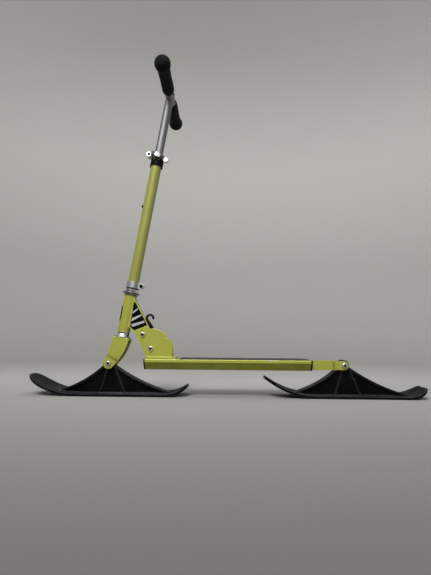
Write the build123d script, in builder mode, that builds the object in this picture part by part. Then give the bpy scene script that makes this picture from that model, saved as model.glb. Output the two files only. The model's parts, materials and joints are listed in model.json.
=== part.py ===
from build123d import *
import os
from math import asin, cos, hypot, pi, radians, sin, tan

os.makedirs("parts", exist_ok=True)

# A folding kick scooter for snow: two moulded skis stand where the wheels would be.
# Millimetres. +X to the rear, +Z up, the soles of both skis on Z = 0, the scooter's
# middle plane on Y = 0. Places along the scooter are measured from the front ski's pivot.

# Fits and clearances
pin_fit = 0.05
slide_fit = 0.05
seat_gap = 0.3
bolt_play = 0.1
side_play = 0.4

# Overall places
pivot_height = 78.0
steer_lean = 9.4
steer_offset = 19.5

# Skis
ski_width = 94.0
ski_tip_reach = 200.0
ski_tail_reach = 202.0
blade_thickness = 4.0
lip_height = 2.5
lip_width = 4.0
sole_front = -70.0
sole_rear = 143.0
tip_bend_radius = 205.0
tip_bend_angle = 33.0
tail_bend_radius = 90.0
tip_corner_radius = 44.0
tail_corner_radius = 36.0
pylon_width = 26.0
pylon_web = 9.0
pylon_rim = 4.0
pylon_base = 2.0
hub_radius = 13.5
flank_start = (12.0, -3.0)
pylon_front_waist = (-60.0, -39.0)
pylon_front_reach = 138.0
pylon_front_foot = 6.0
pylon_rear_waist = (67.0, -36.0)
pylon_rear_reach = 172.0
pylon_rear_foot = 2.0
rib_thickness = 3.2
rib_inset = 1.5
cross_rib_height = 2.5
groove_width = 8.0
groove_depth = 1.2

# Bolts
bolt_diameter = 8.0
bolt_head_diameter = 14.0
bolt_head_height = 4.5
bolt_socket = 5.0
bolt_socket_depth = 2.5
bolt_head_taper = 24.0

# Deck
deck_front = 97.0
deck_length = 405.0
deck_width = 100.0
deck_bottom_width = 74.0
deck_height = 25.0
deck_top_above_pivot = 13.0
deck_lip = 7.0
deck_wall = 2.5
deck_corner_radius = 1.5
deck_rib_thickness = 2.0
front_cap_thickness = 3.0
rear_cap_thickness = 4.0
tape_front_margin = 82.0
tape_rear_margin = 4.0
tape_side_margin = 3.5
tape_thickness = 1.0
tape_corner_radius = 7.0

# Folding bracket on the deck
fold_x = 106.0
fold_z = 38.0
plate_thickness = 4.0
base_length = 77.0
base_width = 62.0
base_thickness = 5.0
base_overhang = 2.0
fan_length = 65.0
fan_shoulder = 47.0
fan_nose = (63.5, 79.5)
fan_peak = (97.5, 95.0)
spring_hole = (84.0, 83.5)
spring_hole_diameter = 4.0
fan_radius = 50.0
fan_arc_front = -6.0
fan_arc_rear = 62.0
stop_radius = 40.8
stop_angle = 31.0
stop_slot_sweep = 32.0
catch_angle = 53.0
catch_width = 8.0
catch_depth = 6.0
plate_corner_radius = 3.0

# Rear bracket
arm_thickness = 4.0
arm_reach = 84.0
arm_half_height = 11.0
arm_wide = 41.0
arm_narrow_length = 23.0
arm_joggle_length = 7.0
tongue_length = 46.0
arm_web_thickness = 4.0

# Neck between the head tube and the folding bracket
neck_width = 27.0
neck_sheet = 2.5
neck_foot_radius = 13.0
web_top_place = (58.5, 168.0)
web_bottom_place = (101.0, 89.0)
web_end_gap = 6.0
neck_chin = (66.0, 80.0)
head_tube_diameter = 31.0
head_tube_bore = 26.0
head_tube_bottom = 80.5
head_tube_top = 174.5
badge_bottom = 106.0
badge_top = 147.0
badge_thickness = 1.2
badge_half_angle = 40.0

# Release lever behind the neck
lever_pin_place = (104.0, 68.0)
lever_pin_diameter = 4.0
release_lever_width = 9.0
release_foot_radius = 5.5
release_foot_rise = 12.0
release_stem_width = 8.5
hook_below_web_top = 66.0
hook_radius = 8.3
hook_thickness = 5.5
hook_sweep = 212.0

# Headset
lower_cup_radius = 22.0
lower_cup_height = 14.5
lower_cup_rim = 5.0
lower_cup_shoulder = 9.0
cup_overhang = 1.0
upper_cup_radius = 23.5
upper_cup_height = 9.0
upper_cup_floor = 6.0
upper_cup_wall = 1.4
lock_nut_size = 33.0
lock_nut_height = 14.0
lock_nut_sides = 8

# Fork
leg_lean = 29.0
crown_length = 40.0
crown_thickness = 5.0
fork_wide = 41.0
fork_leg_thickness = 4.0
leg_joggle_start = 14.0
leg_joggle_length = 7.0
fork_foot_radius = 13.5
foot_blend_angle = 37.0
fork_front_bulges = ((4.5, 24.0), (2.5, 38.0))
fork_rear_bulge = (13.5, 31.0)
stem_length = 165.0
stem_wall = 3.0

# Steering tube and its clamps
steer_tube_diameter = 28.0
steer_tube_top = 561.5
lower_clamp_height = 16.5
clamp_wall = 3.0
clamp_slit = 2.4
ear_length = 12.0
ear_radius = 7.0
ear_width = 16.0
clamp_bolt_diameter = 6.0
clamp_bolt_head = 10.0
upper_collar_bottom = 528.0
upper_collar_height = 20.0
upper_collar_wall = 3.0
collar_notches = 6
collar_notch_width = 6.5
collar_notch_depth = 5.0
collar_tab_width = 6.0
collar_tab_length = 5.0
clamp_bolt_head_height = 3.0
clamp_bolt_socket = 4.0
quick_clamp_height = 11.0
lever_thickness = 3.5
lever_height = 10.0
lever_gap = 2.6
lever_tilt = 17.0
lever_end_gap = 4.0
lever_boss_diameter = 14.0
lever_boss_length = 6.0
lever_knob_diameter = 13.0
lever_knob_length = 9.0
button_height = 414.0
button_diameter = 8.0
button_rise = 3.0

# T-bar
t_tube_diameter = 22.0
t_tube_wall = 2.0
t_tube_overlap = 131.5
tee_height = 729.0
tee_half_length = 27.0
tee_diameter = 25.0
handle_tube_diameter = 19.0
handle_tube_wall = 1.6
handle_half_width = 166.0
handle_inner_end = 2.0
handle_cover = 8.0
grip_diameter = 32.0
grip_end_diameter = 40.0
grip_gap = 1.0
grip_chamfer = 3.0
ball_facets = 5
snap_button_place = 18.0
snap_button_diameter = 6.5
snap_button_rise = 2.5
height_holes = 3
height_hole_spacing = 43.0
height_hole_diameter = 6.0

pivot_spacing = deck_front + deck_length + rear_cap_thickness + arm_reach
front_x = (ski_tip_reach - ski_tail_reach - pivot_spacing) / 2
rear_x = front_x + pivot_spacing


def spot(x, z):
    """A place in the scooter's side view, measured from the front ski's pivot."""
    return (front_x + x, pivot_height + z)


side = Plane.XZ
steer_up = Vector(sin(radians(steer_lean)), 0, cos(radians(steer_lean)))
steer_back = Vector(cos(radians(steer_lean)), 0, -sin(radians(steer_lean)))
steer_origin = Vector(front_x + steer_offset, 0, pivot_height)


def steer_plane(height):
    """A plane square to the steering axis, at a height along it."""
    return Plane(origin=steer_origin + steer_up * height, x_dir=steer_back, z_dir=steer_up)


steer_side = Plane(origin=steer_origin, x_dir=steer_back, z_dir=(0, -1, 0))


def on_axis(rise):
    """The steering axis in the side view, at a rise above the front ski's pivot."""
    return (steer_origin.X + rise * tan(radians(steer_lean)), pivot_height + rise)


def lateral_plane(x, z, y):
    """A plane square to Y at a place in the side view, looking along -Y."""
    return Plane(origin=(x, y, z), x_dir=(1, 0, 0), z_dir=(0, -1, 0))


def lateral_bolt(x, z, half_grip, diameter, head, head_height, socket, head_sides=(-1, 1)):
    """A bolt across the scooter, with a tapered head on each named side, socketed at the near one."""
    with BuildPart() as bolt:
        with BuildSketch(lateral_plane(x, z, 0)):
            Circle(diameter / 2)
        extrude(amount=half_grip, both=True)
        for way in head_sides:
            outward = Plane(origin=(x, way * half_grip, z), x_dir=(1, 0, 0), z_dir=(0, way, 0))
            with BuildSketch(outward):
                Circle(head / 2)
            extrude(amount=head_height, taper=bolt_head_taper)
        with BuildSketch(lateral_plane(x, z, -half_grip - head_height)):
            RegularPolygon(socket / 2, 6)
        extrude(amount=-bolt_socket_depth, mode=Mode.SUBTRACT)
    return bolt.part


def save(solid, name):
    """Labels a finished piece and writes its file."""
    solid.label = name
    export_step(solid, "parts/" + name + ".step")


# Skis. The side profile is measured from the ski's own pivot, with the sole below it.
sole_level = -pivot_height
tip_angle = radians(tip_bend_angle)
tip_straight = (ski_tip_reach + sole_front - tip_bend_radius * sin(tip_angle)) / cos(tip_angle)
tail_angle = asin((ski_tail_reach - sole_rear) / tail_bend_radius)


def tip_point(part, rise):
    """A point on the tip's bend, at a share of its angle and a rise above the sole."""
    angle = tip_angle * part
    reach = tip_bend_radius - rise
    return (sole_front - reach * sin(angle), sole_level + tip_bend_radius - reach * cos(angle))


def tail_point(part, rise):
    """A point on the tail's bend, at a share of its angle and a rise above the sole."""
    angle = tail_angle * part
    reach = tail_bend_radius - rise
    return (sole_rear + reach * sin(angle), sole_level + tail_bend_radius - reach * cos(angle))


def tip_end(rise):
    """The end of the straight tip, at a rise above the sole."""
    x, z = tip_point(1, rise)
    return (x - tip_straight * cos(tip_angle), z + tip_straight * sin(tip_angle))


def blade_band(low, high):
    """The blade's side profile between two rises above its sole."""
    with BuildSketch() as band:
        with BuildLine():
            Line(tip_end(low), tip_point(1, low))
            ThreePointArc(tip_point(1, low), tip_point(0.5, low), tip_point(0, low))
            Line(tip_point(0, low), tail_point(0, low))
            ThreePointArc(tail_point(0, low), tail_point(0.5, low), tail_point(1, low))
            Line(tail_point(1, low), tail_point(1, high))
            ThreePointArc(tail_point(1, high), tail_point(0.5, high), tail_point(0, high))
            Line(tail_point(0, high), tip_point(0, high))
            ThreePointArc(tip_point(0, high), tip_point(0.5, high), tip_point(1, high))
            Line(tip_point(1, high), tip_end(high))
            Line(tip_end(high), tip_end(low))
        make_face()
    return band.sketch_local


def ski_plan(inset):
    """The blade from above, drawn in by an inset all round."""
    length = ski_tip_reach + ski_tail_reach - 2 * inset
    with BuildSketch() as plan:
        with Locations(((ski_tail_reach - ski_tip_reach) / 2, 0)):
            Rectangle(length, ski_width - 2 * inset)
        ends = plan.vertices().group_by(Axis.X)
        fillet(ends[0], radius=tip_corner_radius - inset)
        ends = plan.vertices().group_by(Axis.X)
        fillet(ends[-1], radius=tail_corner_radius - inset)
    return plan.sketch_local


# The pylon's two concave flanks: start, middle and end of each arc, from the ski's pivot.
pylon_root = sole_level + blade_thickness / 2
flanks = {
    "front": (
        (-flank_start[0], flank_start[1]),
        pylon_front_waist,
        (-pylon_front_reach, pylon_root + pylon_front_foot),
    ),
    "rear": (
        flank_start,
        pylon_rear_waist,
        (pylon_rear_reach, pylon_root + pylon_rear_foot),
    ),
}
# Each rib runs from the hub to the blade: place at the hub, place on the blade.
ribs = ((-3.0, -22.0), (16.0, 42.0))


def pylon_outline():
    """The pylon from the side, from the hub down into the blade."""
    front = flanks["front"]
    rear = flanks["rear"]
    with BuildSketch() as outline:
        with BuildLine():
            ThreePointArc(*front)
            Line(front[2], (front[2][0], pylon_root))
            Line((front[2][0], pylon_root), (rear[2][0], pylon_root))
            Line((rear[2][0], pylon_root), rear[2])
            ThreePointArc(*rear)
            Line(rear[0], front[0])
        make_face()
    return outline.sketch_local


blade_profile = blade_band(0, blade_thickness + lip_height)
tray_profile = blade_band(blade_thickness, blade_thickness + lip_height + 5)
blade_plan = ski_plan(0)
tray_plan = ski_plan(lip_width)
pylon_profile = pylon_outline()
below_blade = blade_band(-20, blade_thickness / 2)
base_profile = blade_band(-20, blade_thickness + pylon_base)

# The hollow of the blade's tray, inside its raised lip
with BuildPart() as tray:
    with BuildSketch(side):
        add(tray_profile)
    extrude(amount=ski_width / 2, both=True)
    with BuildSketch(Plane.XY.offset(sole_level - 1)):
        add(tray_plan)
    extrude(amount=pivot_height, mode=Mode.INTERSECT)

# One ski, with its pivot at the origin and the sole at its own level
with BuildPart() as one_ski:
    with BuildSketch(side):
        add(blade_profile)
    extrude(amount=ski_width / 2, both=True)
    with BuildSketch(Plane.XY.offset(sole_level - 1)):
        add(blade_plan)
    extrude(amount=pivot_height, mode=Mode.INTERSECT)
    add(tray.part, mode=Mode.SUBTRACT)
    # The sole's tracking groove
    with BuildSketch(Plane.XY.offset(sole_level)):
        with Locations(((sole_front + sole_rear) / 2, 0)):
            SlotOverall(sole_rear - sole_front, groove_width)
    extrude(amount=groove_depth, mode=Mode.SUBTRACT)
    # The pylon: a thin web in a rim, with two ribs that fan out below the hub
    with BuildSketch(side):
        add(pylon_profile)
        Circle(hub_radius)
        add(below_blade, mode=Mode.SUBTRACT)
    extrude(amount=pylon_width / 2, both=True)
    for way in (-1, 1):
        with BuildSketch(lateral_plane(0, 0, way * pylon_web / 2)):
            add(pylon_profile)
            offset(amount=-pylon_rim, kind=Kind.INTERSECTION, mode=Mode.REPLACE)
            Circle(hub_radius, mode=Mode.SUBTRACT)
            add(base_profile, mode=Mode.SUBTRACT)
        extrude(amount=-way * (pylon_width - pylon_web) / 2, mode=Mode.SUBTRACT)
        with BuildSketch(lateral_plane(0, 0, way * pylon_web / 2)):
            for at_hub, at_blade in ribs:
                with BuildLine():
                    Polyline(
                        (at_hub - rib_thickness / 2, -hub_radius + 2),
                        (at_hub + rib_thickness / 2, -hub_radius + 2),
                        (at_blade + rib_thickness / 2, pylon_root),
                        (at_blade - rib_thickness / 2, pylon_root),
                        close=True,
                    )
                make_face()
        extrude(amount=-way * ((pylon_width - pylon_web) / 2 - rib_inset))
    # Each rib goes on across the blade as a low ridge, from lip to lip
    with BuildSketch(side):
        for at_hub, at_blade in ribs:
            with Locations((at_blade, sole_level + blade_thickness + cross_rib_height / 2)):
                Rectangle(rib_thickness, cross_rib_height)
    extrude(amount=ski_width / 2 - lip_width / 2, both=True)
    with BuildSketch(side):
        Circle(bolt_diameter / 2 + pin_fit)
    extrude(amount=pylon_width, both=True, mode=Mode.SUBTRACT)

save(Pos(front_x, 0, pivot_height) * one_ski.part, "front_ski")
save(Pos(rear_x, 0, pivot_height) * one_ski.part, "rear_ski")

# Deck: a hollow extrusion with an upright upper lip and sides that slant in below it
deck_start = front_x + deck_front
deck_end = deck_start + deck_length
deck_top = pivot_height + deck_top_above_pivot
deck_bottom = deck_top - deck_height
deck_middle = (deck_top + deck_bottom) / 2
tongue_half_height = deck_height / 2 - deck_wall - seat_gap
tongue_half_width = arm_wide / 2


def deck_outline():
    """The deck's section, with Y to its right and Z up."""
    half = deck_width / 2
    foot = deck_bottom_width / 2
    with BuildSketch() as section:
        with BuildLine():
            Polyline(
                (-half, deck_top),
                (half, deck_top),
                (half, deck_top - deck_lip),
                (foot, deck_bottom),
                (-foot, deck_bottom),
                (-half, deck_top - deck_lip),
                close=True,
            )
        make_face()
        fillet(section.vertices(), radius=deck_corner_radius)
    return section.sketch_local


def square_to_x(x):
    """A plane square to X, with Y to its right and Z up."""
    return Plane(origin=(x, 0, 0), x_dir=(0, 1, 0), z_dir=(1, 0, 0))


deck_section = deck_outline()

with BuildPart() as deck:
    with BuildSketch(square_to_x(deck_start)):
        add(deck_section)
        offset(amount=-deck_wall, mode=Mode.SUBTRACT)
    extrude(amount=deck_length)
    # Two upright ribs run the deck's length and hold the rear bracket's tongues
    rib_place = tongue_half_width + seat_gap + deck_rib_thickness / 2
    with BuildSketch(square_to_x(deck_start)):
        with Locations((-rib_place, deck_middle), (rib_place, deck_middle)):
            Rectangle(deck_rib_thickness, deck_height - 2 * deck_wall)
    extrude(amount=deck_length)
save(deck.part, "deck")

with BuildPart() as front_end_cap:
    with BuildSketch(square_to_x(deck_start)):
        add(deck_section)
    extrude(amount=-front_cap_thickness)
save(front_end_cap.part, "front_end_cap")

with BuildPart() as rear_end_cap:
    with BuildSketch(square_to_x(deck_end)):
        add(deck_section)
        with Locations((0, deck_middle)):
            Rectangle(
                2 * (tongue_half_width + seat_gap),
                2 * (tongue_half_height + seat_gap),
                mode=Mode.SUBTRACT,
            )
    extrude(amount=rear_cap_thickness)
save(rear_end_cap.part, "rear_end_cap")

tape_start = deck_start + tape_front_margin
tape_end = deck_end - tape_rear_margin
with BuildPart() as grip_tape:
    with BuildSketch(Plane.XY.offset(deck_top)):
        with Locations(((tape_start + tape_end) / 2, 0)):
            sheet = Rectangle(tape_end - tape_start, deck_width - 2 * tape_side_margin)
        fillet(sheet.vertices(), radius=tape_corner_radius)
    extrude(amount=tape_thickness)
save(grip_tape.part, "grip_tape")

# Folding bracket: two fan plates on a base, with a catch notch for the folded neck
fold_point = spot(fold_x, fold_z)
plate_inner = neck_width / 2 + side_play
plate_outer = plate_inner + plate_thickness
base_top = deck_top + base_thickness


def around_fold(radius, angle):
    """A point round the fold pivot, by its angle back from straight up."""
    turn = radians(angle)
    return (fold_point[0] + radius * sin(turn), fold_point[1] + radius * cos(turn))


stop_point = around_fold(stop_radius, -stop_angle)
plate_front = deck_start - base_overhang
plate_back = plate_front + fan_length

with BuildPart() as fold_bracket:
    with BuildSketch(Plane.XY.offset(deck_top)):
        with Locations((plate_front + base_length / 2, 0)):
            base = Rectangle(base_length, base_width)
        fillet(base.vertices(), radius=base_thickness)
    extrude(amount=base_thickness)
    for way in (-1, 1):
        with BuildSketch(lateral_plane(0, 0, way * plate_inner)) as fan:
            with BuildLine():
                Polyline(
                    around_fold(fan_radius, fan_arc_front),
                    spot(*fan_peak),
                    spot(*fan_nose),
                    (plate_front, base_top),
                    (plate_front, deck_top),
                    (plate_back, deck_top),
                    (plate_back, pivot_height + fan_shoulder),
                    around_fold(fan_radius, fan_arc_rear),
                )
                ThreePointArc(
                    around_fold(fan_radius, fan_arc_rear),
                    around_fold(fan_radius, (fan_arc_front + fan_arc_rear) / 2),
                    around_fold(fan_radius, fan_arc_front),
                )
            make_face()
            nose = fan.vertices().sort_by_distance(Vector(*spot(*fan_nose)))[0]
            peak = fan.vertices().sort_by_distance(Vector(*spot(*fan_peak)))[0]
            fillet([nose, peak], radius=plate_corner_radius)
            with Locations(spot(*spring_hole)):
                Circle(spring_hole_diameter / 2, mode=Mode.SUBTRACT)
            with Locations(around_fold(fan_radius, catch_angle)):
                Rectangle(catch_width, 2 * catch_depth, rotation=-catch_angle, mode=Mode.SUBTRACT)
            with Locations(fold_point, stop_point):
                Circle(bolt_diameter / 2 + bolt_play, mode=Mode.SUBTRACT)
        extrude(amount=-way * plate_thickness)
save(fold_bracket.part, "fold_bracket")

save(
    lateral_bolt(*fold_point, plate_outer, bolt_diameter, bolt_head_diameter,
                 bolt_head_height, bolt_socket),
    "fold_bolt",
)
save(
    lateral_bolt(*stop_point, plate_outer, bolt_diameter, bolt_head_diameter,
                 bolt_head_height, bolt_socket),
    "stop_bolt",
)

# Rear bracket: two arms, cranked in towards the ski's hub, with tongues inside the deck
arm_start = deck_end + rear_cap_thickness
arm_narrow = pylon_width / 2 + side_play + arm_thickness
joggle_to = rear_x - arm_narrow_length
joggle_from = joggle_to - arm_joggle_length
arm_end = rear_x + arm_half_height

with BuildPart() as rear_bracket:
    with BuildSketch(Plane.XY.offset(deck_bottom)):
        for way in (-1, 1):
            outer = way * arm_wide / 2
            inner = way * (arm_wide / 2 - arm_thickness)
            near = way * arm_narrow
            far = way * (arm_narrow - arm_thickness)
            with BuildLine():
                Polyline(
                    (deck_end - tongue_length, outer),
                    (joggle_from, outer),
                    (joggle_to, near),
                    (arm_end, near),
                    (arm_end, far),
                    (joggle_to, far),
                    (joggle_from, inner),
                    (deck_end - tongue_length, inner),
                    close=True,
                )
            make_face()
        with Locations((arm_start + arm_web_thickness / 2, 0)):
            Rectangle(arm_web_thickness, arm_wide)
    extrude(amount=deck_height)
    with BuildSketch(side):
        with BuildLine():
            Polyline(
                (rear_x, pivot_height + arm_half_height),
                (arm_start, pivot_height + arm_half_height),
                (arm_start, deck_middle + tongue_half_height),
                (deck_end - tongue_length, deck_middle + tongue_half_height),
                (deck_end - tongue_length, deck_middle - tongue_half_height),
                (arm_start, deck_middle - tongue_half_height),
                (arm_start, pivot_height - arm_half_height),
                (rear_x, pivot_height - arm_half_height),
            )
            ThreePointArc(
                (rear_x, pivot_height - arm_half_height),
                (rear_x + arm_half_height, pivot_height),
                (rear_x, pivot_height + arm_half_height),
            )
        make_face()
        with Locations((rear_x, pivot_height)):
            Circle(bolt_diameter / 2 + bolt_play, mode=Mode.SUBTRACT)
    extrude(amount=arm_wide, both=True, mode=Mode.INTERSECT)
save(rear_bracket.part, "rear_bracket")

save(
    lateral_bolt(rear_x, pivot_height, arm_narrow, bolt_diameter, bolt_head_diameter,
                 bolt_head_height, bolt_socket),
    "rear_axle_bolt",
)

# Neck: the head tube with a folded sheet channel behind it, whose foot turns on the fold bolt
web_top = spot(*web_top_place)
web_bottom = spot(*web_bottom_place)
web_length = hypot(web_bottom[0] - web_top[0], web_bottom[1] - web_top[1])
web_run = ((web_bottom[0] - web_top[0]) / web_length, (web_bottom[1] - web_top[1]) / web_length)
web_out = (-web_run[1], web_run[0])


def beside_web(along, out):
    """A point by the neck's rear web: how far down it, and how far out from its face."""
    return (
        web_top[0] + web_run[0] * along + web_out[0] * out,
        web_top[1] + web_run[1] * along + web_out[1] * out,
    )


# The channel's outline runs down the web, round the foot and up its front edge. It starts
# and ends inside the head tube, level with the web's top and with a hand's breadth below.
web_height = web_top[1] - pivot_height
tube_joint_low = head_tube_bottom + (web_height - head_tube_bottom) * 0.2
channel_outline = (
    on_axis(web_height),
    web_top,
    web_bottom,
    (fold_point[0] + neck_foot_radius, fold_point[1]),
    (fold_point[0] - neck_foot_radius, fold_point[1]),
    spot(*neck_chin),
    on_axis(tube_joint_low),
)

with BuildPart() as neck:
    with BuildSketch(side):
        with BuildLine():
            Polyline(*channel_outline, close=True)
        make_face()
        with Locations(fold_point):
            Circle(neck_foot_radius)
    extrude(amount=neck_width / 2, both=True)
    # The channel is open in front and below: only its side sheets and rear web stay
    with BuildSketch(side):
        with BuildLine():
            Polyline(
                on_axis(web_height),
                beside_web(0, -neck_sheet),
                beside_web(web_length - web_end_gap, -neck_sheet),
                beside_web(web_length - web_end_gap, web_length),
                (web_bottom[0], pivot_height),
                on_axis(0),
                close=True,
            )
        make_face()
    extrude(amount=neck_width / 2 - neck_sheet, both=True, mode=Mode.SUBTRACT)
    # The stop bolt's notch, open towards the front
    with BuildSketch(side):
        with BuildLine() as notch_path:
            ThreePointArc(
                around_fold(stop_radius, -stop_angle),
                around_fold(stop_radius, -stop_angle - stop_slot_sweep / 2),
                around_fold(stop_radius, -stop_angle - stop_slot_sweep),
            )
        SlotArc(notch_path.edge(), bolt_diameter + 2 * seat_gap)
    extrude(amount=neck_width, both=True, mode=Mode.SUBTRACT)
    with BuildSketch(steer_plane(head_tube_bottom)):
        Circle(head_tube_diameter / 2)
    extrude(amount=head_tube_top - head_tube_bottom)
    with BuildSketch(steer_plane(head_tube_bottom - 1)):
        Circle(head_tube_bore / 2)
    extrude(amount=head_tube_top - head_tube_bottom + 2, mode=Mode.SUBTRACT)
    with BuildSketch(side):
        with Locations(fold_point):
            Circle(bolt_diameter / 2 + pin_fit)
    extrude(amount=neck_width, both=True, mode=Mode.SUBTRACT)
save(neck.part, "neck")

# The blank badge on the front of the head tube
with BuildPart() as front_badge:
    with BuildSketch(steer_plane(badge_bottom)):
        Circle(head_tube_diameter / 2 + bolt_play + badge_thickness)
        Circle(head_tube_diameter / 2 + bolt_play, mode=Mode.SUBTRACT)
    extrude(amount=badge_top - badge_bottom)
    with BuildSketch(Plane(origin=steer_origin, x_dir=(0, -1, 0), z_dir=-steer_back)):
        badge_width = head_tube_diameter * sin(radians(badge_half_angle))
        with Locations((0, (badge_bottom + badge_top) / 2)):
            face = Rectangle(badge_width, badge_top - badge_bottom)
        fillet(face.vertices(), radius=badge_width / 2 - 1)
    extrude(amount=head_tube_diameter, mode=Mode.INTERSECT)
save(front_badge.part, "front_badge")

# The release lever stands behind the web, hooks over at its top and turns on a pin in the foot
lever_pin_point = spot(*lever_pin_place)
hook_out = seat_gap + hook_thickness / 2 + hook_radius


def around_hook(angle):
    """A point on the hook's middle line, by its angle over the top from the lever's stem."""
    turn = radians(angle)
    return beside_web(
        hook_below_web_top - hook_radius * sin(turn),
        hook_out - hook_radius * cos(turn),
    )


with BuildPart() as release_lever:
    with BuildSketch(side):
        with BuildLine() as hook_path:
            ThreePointArc(around_hook(0), around_hook(hook_sweep / 2), around_hook(hook_sweep))
        SlotArc(hook_path.edge(), hook_thickness)
    extrude(amount=release_lever_width / 2, both=True)
    with BuildSketch(side):
        foot_front = (lever_pin_point[0] - release_foot_radius, lever_pin_point[1])
        foot_rear = (lever_pin_point[0] + release_foot_radius, lever_pin_point[1])
        with BuildLine():
            Polyline(
                foot_rear,
                beside_web(web_length, seat_gap + release_stem_width),
                beside_web(hook_below_web_top, seat_gap + hook_thickness),
                beside_web(hook_below_web_top, seat_gap),
                beside_web(web_length, seat_gap),
                (foot_front[0], foot_front[1] + release_foot_rise),
                foot_front,
            )
            ThreePointArc(
                foot_front,
                (lever_pin_point[0], lever_pin_point[1] - release_foot_radius),
                foot_rear,
            )
        make_face()
    extrude(amount=release_lever_width / 2, both=True)
    with BuildSketch(side):
        with Locations(lever_pin_point):
            Circle(lever_pin_diameter / 2 + bolt_play)
    extrude(amount=release_lever_width, both=True, mode=Mode.SUBTRACT)
save(release_lever.part, "release_lever")

with BuildPart() as lever_pin:
    with BuildSketch(side):
        with Locations(lever_pin_point):
            Circle(lever_pin_diameter / 2)
    extrude(amount=neck_width / 2 - neck_sheet, both=True)
save(lever_pin.part, "lever_pin")

# Headset: the flared lower cup, the dished upper cup and the lock nut that stands in the dish
stem_radius = t_tube_diameter / 2
lower_cup_top = head_tube_bottom
lower_cup_bottom = lower_cup_top - lower_cup_height
cup_bore = stem_radius + pin_fit
cup_top_radius = head_tube_diameter / 2 + cup_overhang
with BuildPart() as lower_cup:
    with BuildSketch(steer_side):
        with BuildLine():
            Polyline(
                (cup_bore, lower_cup_top),
                (cup_bore, lower_cup_bottom),
                (lower_cup_radius, lower_cup_bottom),
                (lower_cup_radius, lower_cup_bottom + lower_cup_rim),
                (cup_top_radius, lower_cup_bottom + lower_cup_shoulder),
                (cup_top_radius, lower_cup_top),
                close=True,
            )
        make_face()
    revolve(axis=Axis(steer_origin, steer_up))
save(lower_cup.part, "lower_headset_cup")

cup_floor_top = head_tube_top + upper_cup_floor
dish_radius = lock_nut_size / 2 / cos(radians(180 / lock_nut_sides)) + seat_gap
with BuildPart() as upper_cup:
    with BuildSketch(steer_side):
        with BuildLine():
            Polyline(
                (cup_bore, head_tube_top),
                (cup_top_radius, head_tube_top),
                (upper_cup_radius, head_tube_top + upper_cup_height),
                (upper_cup_radius - upper_cup_wall, head_tube_top + upper_cup_height),
                (dish_radius, cup_floor_top),
                (cup_bore, cup_floor_top),
                close=True,
            )
        make_face()
    revolve(axis=Axis(steer_origin, steer_up))
save(upper_cup.part, "upper_headset_cup")

lock_nut_bottom = cup_floor_top + seat_gap
lock_nut_top = lock_nut_bottom + lock_nut_height
with BuildPart() as lock_nut:
    with BuildSketch(steer_plane(lock_nut_bottom)):
        RegularPolygon(lock_nut_size / 2, lock_nut_sides, major_radius=False)
        Circle(stem_radius + slide_fit, mode=Mode.SUBTRACT)
    extrude(amount=lock_nut_height)
save(lock_nut.part, "lock_nut")

# Fork: cranked side plates under a flat crown, with the stem that runs up the head tube
crown_top = lower_cup_bottom - seat_gap
leg_out = Vector(cos(radians(leg_lean)), 0, -sin(radians(leg_lean)))
leg_narrow = pylon_width / 2 + side_play + fork_leg_thickness
foot_back = steer_offset * cos(radians(steer_lean))
foot_rise = steer_offset * sin(radians(steer_lean))
foot_point = (-foot_back, -foot_rise)
foot_blend = radians(foot_blend_angle)
foot_rear = (
    foot_point[0] + fork_foot_radius * cos(foot_blend),
    foot_point[1] - fork_foot_radius * sin(foot_blend),
)
# The legs' section runs past the foot and the crown, and the side outline cuts it to length
leg_low = -2 * fork_foot_radius
leg_high = 2 * crown_top

with BuildPart() as fork:
    with BuildSketch(Plane(origin=(front_x, 0, pivot_height), x_dir=(0, 1, 0), z_dir=leg_out)):
        for way in (-1, 1):
            near = way * leg_narrow
            far = way * (leg_narrow - fork_leg_thickness)
            outer = way * fork_wide / 2
            inner = way * (fork_wide / 2 - fork_leg_thickness)
            with BuildLine():
                Polyline(
                    (near, leg_low),
                    (near, leg_joggle_start),
                    (outer, leg_joggle_start + leg_joggle_length),
                    (outer, leg_high),
                    (inner, leg_high),
                    (inner, leg_joggle_start + leg_joggle_length),
                    (far, leg_joggle_start),
                    (far, leg_low),
                    close=True,
                )
            make_face()
    extrude(amount=2 * crown_length, both=True)
    with BuildSketch(steer_side):
        with BuildLine():
            Polyline(
                (foot_point[0] - fork_foot_radius, foot_point[1]),
                *((-crown_length / 2 - out, rise) for out, rise in fork_front_bulges),
                (-crown_length / 2, crown_top - crown_thickness),
                (-crown_length / 2, crown_top),
                (crown_length / 2, crown_top),
                (crown_length / 2, crown_top - crown_thickness),
            )
            ThreePointArc(
                (crown_length / 2, crown_top - crown_thickness),
                fork_rear_bulge,
                foot_rear,
            )
            Line(foot_rear, foot_point)
            Line(foot_point, (foot_point[0] - fork_foot_radius, foot_point[1]))
        make_face()
        with Locations(foot_point):
            Circle(fork_foot_radius)
            Circle(bolt_diameter / 2 + bolt_play, mode=Mode.SUBTRACT)
    extrude(amount=fork_wide, both=True, mode=Mode.INTERSECT)
    with BuildSketch(steer_plane(crown_top)):
        crown = Rectangle(crown_length, fork_wide)
        fillet(crown.vertices(), radius=fork_leg_thickness / 2)
    extrude(amount=-crown_thickness)
    with BuildSketch(steer_plane(crown_top)):
        Circle(stem_radius)
    extrude(amount=stem_length)
    with BuildSketch(steer_plane(crown_top - crown_thickness)):
        Circle(stem_radius - stem_wall)
    extrude(amount=stem_length + crown_thickness, mode=Mode.SUBTRACT)
save(fork.part, "fork")

save(
    lateral_bolt(front_x, pivot_height, leg_narrow, bolt_diameter, bolt_head_diameter,
                 bolt_head_height, bolt_socket),
    "front_axle_bolt",
)

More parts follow.
